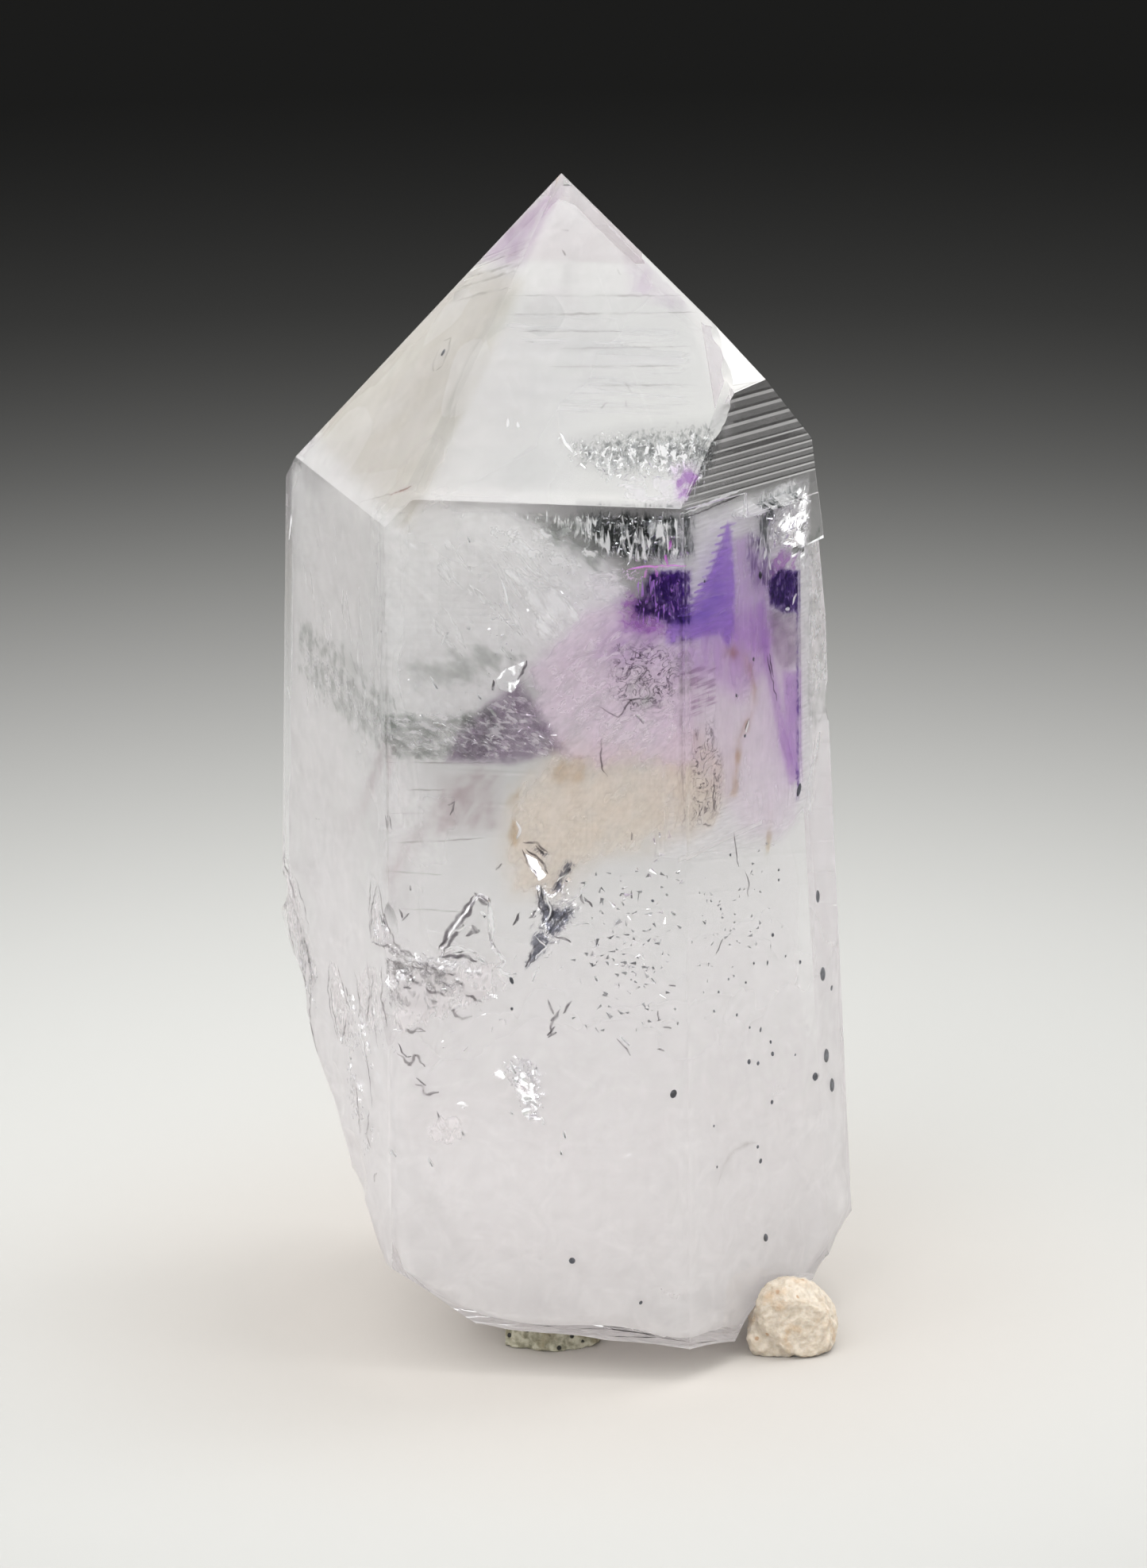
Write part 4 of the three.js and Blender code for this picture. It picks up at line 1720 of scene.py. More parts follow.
VEILS = (
    Layers("tip_growth_bands", Patch(TIP_FRONT, (
        (-3.2, 73.2), (9, 73.4), (11.4, 67.2), (10, 65.6), (-7.6, 66),
    ), 1.5, 0.4, 0.4), (1, 2.2), BANDED),
    Layers("front_lower_haze", Patch(P2, (
        (-10.8, 43.2), (-3, 43.2), (-3.6, 36), (-6, 31), (-10.8, 29),
    ), 3.4, 0.4, 0.3), (3.0,), THIN_CLOUD),
    Layers("upper_left_cloud", Patch(P2, (
        (-11, 61.4), (-1.9, 61.6), (5, 58.5), (6.8, 54.8), (2.4, 50.6), (-0.6, 48.8), (-4, 46), (-11, 43.8),
    ), 1.8, 0.5, 0.8), (1.2, 2.8, 4.6), CLOUDY),
    Layers("upper_left_brushing", Patch(P2, (
        (-7.5, 60.6), (-2, 61), (4.2, 57), (4.4, 54), (0.6, 50), (-5, 47.8), (-9.6, 47),
    ), 2.0, 0.4, 0.5), (0.8,), BRUSHED),
    Layers("block_side_drift", Patch(P2, (
        (2.4, 57.6), (5.6, 58.2), (6.6, 56.4), (6.4, 55), (4.6, 54.2), (2.6, 54.6),
    ), 1.1, 0.3, 0.4), (0.9, 1.7), WHITE_PATCH),
    Layers("upper_white_drift", Patch(P2, (
        (-4.2, 59.4), (-1.4, 60.4), (4.6, 55.8), (3.6, 52.4), (0.8, 49.8), (-0.8, 52), (-2.2, 55.6),
    ), 1.5, 0.3, 0.4), (0.9, 1.8), WHITE_DRIFT),
    # Painted shade: grey tints in three bands down the front face, the highest just under the tip's edge.
    Layers("upper_grey_shade", Patch(P2, (
        (-5.6, 61.6), (4.6, 61.6), (5.8, 57.2), (4, 56.4), (1.8, 57.6), (-1.2, 60),
    ), 1.2, 0.3, 0.4), (0.7, 1.1, 1.5), GREY_MOTTLE_AND_PAINTED_SHADE),
    Layers("middle_grey_shade", Patch(P2, (
        (-9.4, 50.6), (-5.8, 52.4), (-1.8, 53.6), (0.4, 50.4), (-2.6, 48.2), (-9.8, 47.2),
    ), 1.6, 0.3, 0.4), (1.0,), GREY_MOTTLE_AND_PAINTED_SHADE),
    Layers("lower_grey_shade", Patch(P2, (
        (-10.6, 47.4), (-6.3, 46.8), (-2.6, 48.2), (-1.4, 45.4), (-3.1, 43.3), (-10.6, 43),
    ), 0.7, 0.2, 0.3), (0.5, 1.0, 1.5), GREY_MOTTLE_AND_PAINTED_SHADE),
    Layers(
        "left_face_cloud", Patch(P1, ((-9.5, 60), (8.5, 61), (8.5, 38), (-9.5, 33)), 2.5, 0.6, 0.8),
        (1.4, 3.4), CLOUDY,
    ),
    Layers(
        "left_face_brushing", Patch(P1, ((-8.8, 58), (8.2, 60), (8.2, 44.4), (-8.8, 40)), 2.2, 0.4, 0.5),
        (0.8,), BRUSHED_UP,
    ),
    # Painted shade: a grey band across the left face.
    Layers("left_face_shade", Patch(P1, (
        (-8.8, 49), (0, 50), (8.6, 48.6), (8.6, 43), (2, 42.6), (-8.8, 44),
    ), 1.3, 0.3, 0.5), (0.7,), GREY_MOTTLE_AND_PAINTED_SHADE),
    Layers(
        "left_face_lace", Patch(P1, ((-8, 48), (8.6, 47.6), (8.6, 43.4), (-8, 44)), 1.3, 0.3, 0.5), (0.5,),
        LACE,
    ),
    Layers("front_strands", Patch(P2, (
        (-7, 61.7), (10.3, 61.7), (10.3, 57.6), (7, 57), (4.6, 57.8), (1, 59.6), (-6, 60.2),
    ), 1.1, 0.2, 0.4), (0.7, 1.4), STRANDS),
    # Painted shade: dark streaks among the strands under the tip, on the front face's right.
    Layers("front_strand_shade", Patch(P2, (
        (2.5, 61.8), (10.3, 61.8), (10.3, 57.8), (6.8, 57.4), (4.2, 58.2), (2.6, 60),
    ), 1.0, 0.2, 0.4), (0.9, 1.7, 2.4), PAINTED_SHADE_STRANDS),
    Layers("tip_strands", Patch(TIP_FRONT, (
        (0, 66.2), (6, 66.9), (12.4, 67.4), (12.2, 62), (4.5, 61.9), (1.2, 63.2),
    ), 1.9, 0.2, 0.4), (0.7, 1.5), STRANDS),
    # Painted shade: dark streaks among the strands on the tip's front face.
    Layers("tip_strand_shade", Patch(TIP_FRONT, (
        (0.8, 65.6), (6, 66.6), (12.3, 67.2), (12.2, 63.4), (5.6, 63), (2.4, 63.6),
    ), 1.7, 0.2, 0.3), (0.9, 1.5), PAINTED_SHADE_STRANDS),
    Layers("tip_white_blob", Patch(TIP_FRONT, (
        (4.6, 63.4), (7.4, 63.8), (10, 63.8), (10.4, 61.9), (5.6, 61.7),
    ), 0.5, 0.15, 0.2), (0.5,), WHITE_PATCH),
    Layers("tip_violet_blob", Patch(TIP_FRONT, (
        (8.6, 64.2), (10.2, 64.6), (11.6, 63.4), (10.8, 62), (9.2, 61.9),
    ), 0.7, 0.15, 0.2), (0.3, 0.45), MAGENTA_VIOLET),
    # Painted highlight: the white sheet behind the right face's mirror-like crack, for its soft glare.
    Layers("right_crest_painted_highlight", Patch(P3, (
        (-0.6, 60.4), (1.8, 61.4), (6.9, 60.6), (7.2, 53), (5.4, 52.6), (3, 54), (1.2, 55.6), (-0.2, 58),
    ), 1.5, 0.16, 0.3), (2.6, 3.2), CREST_PAINTED_HIGHLIGHT),
    Layers(
        "right_glare",
        Patch(P3, (
            (0.6, 57.2), (3, 58.6), (6.9, 59.4), (7.2, 53.4), (5.2, 53.6), (2.6, 55.4),
        ), 1.5, 0.16, 0.3, 1.2),
        (2.2,),
        CrackFilm(
            "open_crack_glare", Grain(1.3, (1, 1, 1.5), (0, 28, 60), detail=5, warp=0.7), 0.36, 0.5, 1.0,
            0.22, (1, 1, 1),
        ),
        lean=-0.3,
    ),
    Layers(
        "right_glare_strands",
        Patch(P3, ((1.6, 58.8), (5, 61), (7.2, 60.2), (7.2, 56.4), (3.4, 56.6)), 1.2, 0.16, 0.3, 1.2), (2.4,),
        CrackFilm(
            "strand_glare", Grain(0.4, (1, 1, 4), (0, 28, 60), detail=4, warp=0.5), 0.5, 0.6, 1.0, 0.2,
            (1, 1, 1),
        ),
        lean=-0.3,
    ),
    # Painted shade: dark streaks beside the bright crest on the right face.
    Layers("right_crest_shade", Patch(P3, (
        (0, 60.6), (2.6, 60.8), (6.6, 60.2), (6.6, 59.2), (3.4, 58.4), (2, 55.4), (0.4, 56.4),
    ), 0.9, 0.2, 0.4), (2.3,), PAINTED_SHADE_STRANDS),
    Layers("right_violet_strands", Patch(P3, (
        (-0.8, 58.6), (1, 58.2), (2.4, 56), (3.4, 54.4), (1.8, 53), (0, 53.6), (-1.2, 56),
    ), 0.9, 0.16, 0.3), (0.6, 1.1), VIOLET_STRANDS),
    Layers("right_white_strands", Patch(P3, (
        (-1, 59.2), (1.6, 58.6), (3.6, 55.6), (4.6, 54.2), (2, 53.6), (0, 55.6),
    ), 0.9, 0.16, 0.3), (0.45,), STRANDS),
    Layers("right_face_brushing", Patch(P3, (
        (-7.9, 61.6), (6.6, 60.2), (6.6, 37), (2, 35), (-7.9, 37),
    ), 1.6, 0.3, 0.4), (2.6, 4.2), BRUSHED_RIGHT),
    Layers(
        "strip_mottling", Patch(STRIP, ((1.2, 57), (7, 57), (7, 41), (1.2, 41)), 1.4, 0.25, 0.2), (0.5,),
        GREY_MOTTLE_AND_PAINTED_SHADE,
    ),
    Layers(
        "strip_spots", Patch(STRIP, ((1.2, 56), (7, 56), (7, 43), (1.2, 43)), 1.4, 0.25, 0.2), (0.4,), SPOTTY,
    ),
    Layers("violet_fibres", Patch(P2, (
        (6.4, 57.4), (10, 57.6), (10, 54.6), (8.4, 53.2), (6, 53), (6.2, 55.2),
    ), 0.5, 0.14, 0.2), (0.42,), VIOLET_FIBRES),
    Layers("pink_fuzz", Patch(P2, (
        (5.2, 57.6), (7.4, 57.9), (7.6, 57), (7, 56), (5.8, 56.4),
    ), 0.5, 0.14, 0.2), (0.45,), PINK_FUZZ),
    Layers("white_blob_glare", Patch(P2, (
        (-2.8, 49.2), (-2.2, 50.1), (-0.8, 50.7), (-1.2, 49.1), (-1.7, 48.3), (-2.6, 48.6),
    ), 0.2, 0.12, 0.1, 1.0), (1.2,), BRIGHT_FILM, lean=-0.34),
    Layers(
        "white_blob",
        Patch(P2, (
            (-2.9, 49.2), (-2.2, 50.2), (-0.7, 50.8), (-1.2, 49.1), (-1.6, 48.2), (-2.7, 48.5),
        ), 0.3, 0.12, 0.3),
        (0.5,), Haze("white_flake", Grain(1.0, detail=4, warp=1.0), 0.3, 0.45, 1.0, 0.2, (1, 1, 1)),
    ),
    Layers("wedge_lace", Patch(P2, (
        (0, 50.6), (4, 54.2), (8.2, 53.4), (10.2, 52), (10.2, 44), (3.4, 44), (0.4, 47),
    ), 1.2, 0.25, 0.5), (0.7, 1.5), PINK_LACE),
    Layers("healed_front", Patch(P2, (
        (4.8, 52.2), (8.4, 52.8), (10, 51), (9.6, 47.5), (6, 46.6), (4.2, 48.5),
    ), 1.2, 0.25, 0.6), (0.6,), HEALED_LINES),
    Layers("healed_right", Patch(P3, (
        (-7.2, 46.4), (-4, 46.4), (-2.8, 42), (-3.4, 39), (-7.2, 38.6),
    ), 1.0, 0.25, 0.5), (0.9,), HEALED_LINES),
    Layers("lace_front", Patch(P2, (
        (-10.4, 47.4), (-4.5, 47.4), (-0.9, 49.6), (2, 45), (1.5, 43.4), (-10.4, 43.1),
    ), 0.8, 0.2, 0.4), (0.4, 1.2), LACE),
    Layers("spotty_front", Patch(P2, (
        (-5, 61.2), (5.2, 61.2), (5.6, 57), (1, 56), (-3, 58),
    ), 1.5, 0.25, 0.5), (0.6, 1.2), SPOTTY),
    Layers(
        "bright_line", Patch(P3, band(((-7.7, 37.1), (-3, 37.3), (1, 37.3)), 0.42), 0.2, 0.1), (0.6,),
        WHITE_LINE,
    ),
)

# Cracks and strokes, with painted shade and painted highlights

SHINY_CRACK = CrackFilm("crack_film", Grain(0.6, detail=3, warp=1.5), 0.4, 0.55)
THIN_FILM = CrackFilm("thin_crack_film", Grain(0.8, detail=4, warp=1.5), 0.48, 0.6, 0.8)
# Painted shade: a dark grey-blue tint for the star crack and round the bright flake, where the cracks look
# dark.
CRACK_SHADE = GrowthTint(
    "crack_shade", (0.36, 0.37, 0.43), Grain(0.24, (1, 1, 2.4), (0, 28, 0), detail=4, warp=1.2), 0.4, 0.56,
    0.06,
)
# Painted shade: a light grey, streaky tint over the rough broken zone and the left chip.
ROUGH_SHADE = GrowthTint(
    "rough_shade", (0.62, 0.61, 0.61), Grain(0.4, (2.4, 1, 1), (0, 32, 0), detail=5, warp=1.2), 0.44, 0.58,
    0.0,
)
# Painted shade: dark lines where hairline cracks, small marks and the hollow's edges look dark.
HAIRLINE_PAINTED_SHADE = GrowthTint("hairline_shade", (0.24, 0.22, 0.24), Grain(0.8, detail=3), 0.3, 0.5, 0.5)
# Faint grey lines for growth steps, marks and a groove; along the front face's edges the same grey is painted
# shade.
SOFT_LINE_AND_PAINTED_SHADE = GrowthTint("soft_line_and_painted_shade", (0.7, 0.69, 0.68), Grain(1.5, detail=3), 0.35, 0.6, 0.2)
RUST = GrowthTint("rust", (0.5, 0.2, 0.16), Grain(0.5, detail=3), 0.36, 0.5, 0.1)
CHIP_LINE = GrowthTint("chip_line", (0.42, 0.4, 0.41), Grain(0.7, detail=3), 0.3, 0.5, 0.3)
# White flecks and threads; in the strokes round the hollow and along the strip the same white is painted
# highlight.
WHITE_FLECKS_AND_PAINTED_GLINTS = Haze("bright_flake", Grain(0.8, detail=3), 0.3, 0.4, 1.0, 0.8, (1, 1, 1), 0.0)
PINK_FLAKE = Haze(
    "pink_flake", Grain(0.7, (1, 1, 2), detail=4, warp=1.0), 0.4, 0.56, 0.9, 0.1, (1, 0.96, 0.965), 0.1,
)
CRACKS = (
    # Painted shade: the star crack's dark body and its two arms.
    Layers("star_crack_painted_shade", Patch(P2, (
        (-0.6, 35.2), (0.4, 35.2), (0.7, 34), (1.2, 33.5), (2.9, 33.7), (2.5, 32.5), (1, 30.9), (0.2, 31.4),
        (-0.3, 33.4),
    ), 0.5, 0.1, 0.4, 1.0), (0.8, 1.2), CRACK_SHADE),
    Layers("star_crack_arm_painted_shade", Patch(P2, (
        (1.8, 37.1), (2.7, 36.5), (2, 35.4), (1.7, 34.2), (0.5, 34.2), (1.1, 36),
    ), 0.42, 0.08, 0.3, 1.0), (0.8, 1.2), CRACK_SHADE),
    Layers("star_crack_tail_painted_shade", Patch(P2, (
        (0.2, 32), (1.1, 31), (0.4, 29.9), (-1.1, 28.5), (-1.3, 29.3), (-0.7, 30.4), (-0.9, 31.4),
    ), 0.42, 0.08, 0.3, 1.0), (0.8, 1.2), CRACK_SHADE),
    Layers(
        "star_crack_glints",
        Patch(P2, (
            (-0.6, 33.2), (0.6, 35.4), (2.6, 36.6), (2.6, 34.2), (3.6, 33.6), (1.6, 31.6), (0.6, 29.8),
            (-0.9, 28.8), (-0.2, 31.6),
        ), 0.5, 0.1, 0.2, 1.0),
        (3.2,),
        CrackFilm(
            "crack_glints", Grain(0.34, (1, 1, 2), (0, 28, 0), detail=4, warp=0.8), 0.56, 0.62, 1.0, 0.2,
            (1, 1, 1),
        ),
        lean=-0.34,
    ),
    Layers("star_crack_shine", Patch(P2, (
        (-0.9, 35.4), (2.6, 36.4), (3.4, 33.4), (1.2, 29.6), (-1.4, 28.8), (-1.4, 32.4),
    ), 0.9, 0.15, 0.6, 1.2), (1.6,), THIN_FILM),
    # Painted shade round the bright flake.
    Layers("flake_shade", Patch(P2, (
        (-1.1, 37.9), (0.2, 37.6), (0.9, 37.1), (0.3, 36.7), (-0.4, 37.2),
    ), 0.2, 0.1, 0.2), (0.8,), CRACK_SHADE),
    Layers("bright_flake", Patch(P2, (
        (-1.1, 37.3), (-0.1, 36.7), (0.6, 35.6), (0, 35.2), (-0.6, 36),
    ), 0.14, 0.08, 0.1, 1.0), (1.2,), BRIGHT_FILM, lean=-0.34),
    Layers("sparkling_crack", Patch(P2, (
        (-1.8, 20.9), (-1.2, 21.9), (-0.5, 21.2), (-0.4, 19.7), (-1, 19.4), (-1.7, 19.9),
    ), 0.16, 0.08, 0.3, 0.8), (1.2,), BRIGHT_FILM, lean=-0.34),
    Layers("sparkling_crack_foot", Patch(P2, (
        (-1.4, 18.9), (-0.6, 19.7), (-0.2, 19.1), (-0.8, 18.1),
    ), 0.14, 0.08, 0.3, 0.8), (1.2,), BRIGHT_FILM, lean=-0.34),
    Layers("sparkling_crack_side", Patch(P2, (
        (-3.3, 21.4), (-2.8, 22), (-2.2, 21.6), (-2.5, 21),
    ), 0.14, 0.08, 0.3, 0.8), (1.2,), BRIGHT_FILM, lean=-0.34),
    Layers("low_left_flake", Patch(P2, (
        (-5.8, 19.3), (-5.2, 19.5), (-4.6, 19.2), (-5.1, 18.8),
    ), 0.14, 0.08, 0.3, 0.8), (1.2,), BRIGHT_FILM, lean=-0.34),
    Layers("low_left_drift", Patch(P2, (
        (-8, 18), (-6.4, 18.8), (-4.4, 18.4), (-4.8, 16.4), (-6.6, 15.8), (-7.8, 16.4),
    ), 0.7, 0.08, 0.3, 0.8), (0.35,), PINK_FLAKE),
    Layers("right_white_patch", Patch(P2, (
        (7.4, 6.7), (8.4, 7), (9.9, 6.7), (9.9, 5.6), (8, 5.6),
    ), 0.8, 0.08, 0.3, 0.8), (0.35,), PINK_FLAKE),
    Layers("sparkling_crack_shine", Patch(P2, (
        (-3.2, 22.4), (-0.9, 23.4), (0.6, 22.4), (0.4, 17.8), (-1, 17.6), (-2.2, 20.2),
    ), 0.8, 0.12, 0.6, 0.8), (0.9, 1.5), SHINY_CRACK),
    Layers("rough_band", Patch(P2, (
        (-10.6, 31), (-7.5, 30.4), (-5, 30.2), (-2.4, 29.4), (-2.2, 26.4), (-6, 25), (-10.6, 25.2),
    ), 1.0, 0.15, 0.8, 1.5), (0.9, 1.5), THIN_FILM),
    # Painted shade over the rough broken zone.
    Layers("rough_band_shade", Patch(P2, (
        (-10.6, 31.6), (-8, 29.8), (-5.2, 29.4), (-4.4, 27.2), (-7, 25.2), (-10.6, 25.6),
    ), 0.9, 0.15, 0.6, 1.5), (0.6, 1.2), ROUGH_SHADE),
    Layers("rough_band_flakes", Patch(P2, (
        (-10.4, 28.6), (-6.4, 29.4), (-2.6, 30), (-1.6, 27.2), (-5, 25.4), (-10.4, 23),
    ), 1.0, 0.12, 0.6, 1.5), (0.45,), PINK_FLAKE),
    Layers("left_chip", Patch(P1, (
        (-11.8, 30.4), (-10.6, 31.4), (-9.6, 30.2), (-7, 27), (-5, 24.2), (-5.8, 22.4), (-8, 22.4),
        (-9.2, 24.8), (-11.4, 26),
    ), 0.6, 0.12, 0.5, 1.5), (0.4,), PINK_FLAKE),
    Layers("left_chip_shine", Patch(P1, (
        (-10.4, 28.4), (-8.4, 27.6), (-6.6, 26), (-4.8, 23.9), (-5.4, 20.8), (-7.8, 22), (-9.4, 24.6),
    ), 0.7, 0.15, 0.8, 1.2), (0.9,), SHINY_CRACK),
    # Painted shade over the left chip.
    Layers("left_chip_shade", Patch(P1, (
        (-10.2, 28.4), (-8, 27.2), (-6.4, 25.6), (-5, 23.4), (-6.4, 21.4), (-8.2, 23.4),
    ), 0.7, 0.15, 0.6, 1.2), (0.7, 1.2), ROUGH_SHADE),
    Layers("corner_chip", Patch(P1, (
        (5.6, 34.4), (4.4, 31.8), (4.1, 29.4), (5.8, 29.6), (7.4, 30.2), (7, 31.4), (6, 32.6),
    ), 0.4, 0.1, 0.3, 0.9), (0.4,), PINK_FLAKE),
    Layers("corner_chip_glare", Patch(P1, (
        (5.5, 33.6), (4.8, 31.6), (4.6, 30.2), (5.8, 30.2), (6.6, 30.8),
    ), 0.3, 0.1, 0.2, 0.9), (2.0,), BRIGHT_FILM, lean=-0.34),
    Layers("low_chip_glare", Patch(P1, (
        (-2.8, 25.6), (-2, 25.4), (-0.8, 22.4), (-1.4, 21), (-2.4, 22.8),
    ), 0.3, 0.1, 0.2, 0.9), (2.0,), BRIGHT_FILM, lean=-0.34),
    Layers("left_chip_glare", Patch(P1, (
        (-10.4, 30.4), (-9.6, 29.2), (-8.4, 26.6), (-9, 25.6), (-10.2, 27.4),
    ), 0.4, 0.1, 0.2, 0.9), (2.2,), BRIGHT_FILM, lean=-0.34),
    Layers("corner_chip_shine", Patch(P1, (
        (5.6, 34.2), (4.4, 31.8), (4.2, 29.6), (5.8, 29.8), (7.2, 30.2), (7, 31.4), (6, 32.6),
    ), 0.35, 0.1, 0.5, 0.9), (0.7,), SHINY_CRACK),
    Layers("low_chip", Patch(P1, (
        (-3.2, 26), (-1.8, 26), (0.4, 23.6), (0.2, 21.2), (-1.4, 20.2), (-3, 22.6),
    ), 0.5, 0.1, 0.4, 1.2), (0.4,), PINK_FLAKE),
    Layers("low_corner_chip", Patch(P1, (
        (1.2, 26.4), (3.4, 28.2), (6.4, 28.6), (7.2, 24.8), (4.2, 22.6), (1.8, 23.4),
    ), 0.9, 0.12, 0.4, 1.2), (0.4,), PINK_FLAKE),
    Layers("left_low_haze", Patch(P1, (
        (-3.6, 25.4), (1.6, 26.4), (7.8, 29), (7.8, 17), (2.6, 12), (-2.6, 18),
    ), 2.0, 0.3, 0.8, 2.0), (1.0,), THIN_FILM),
)

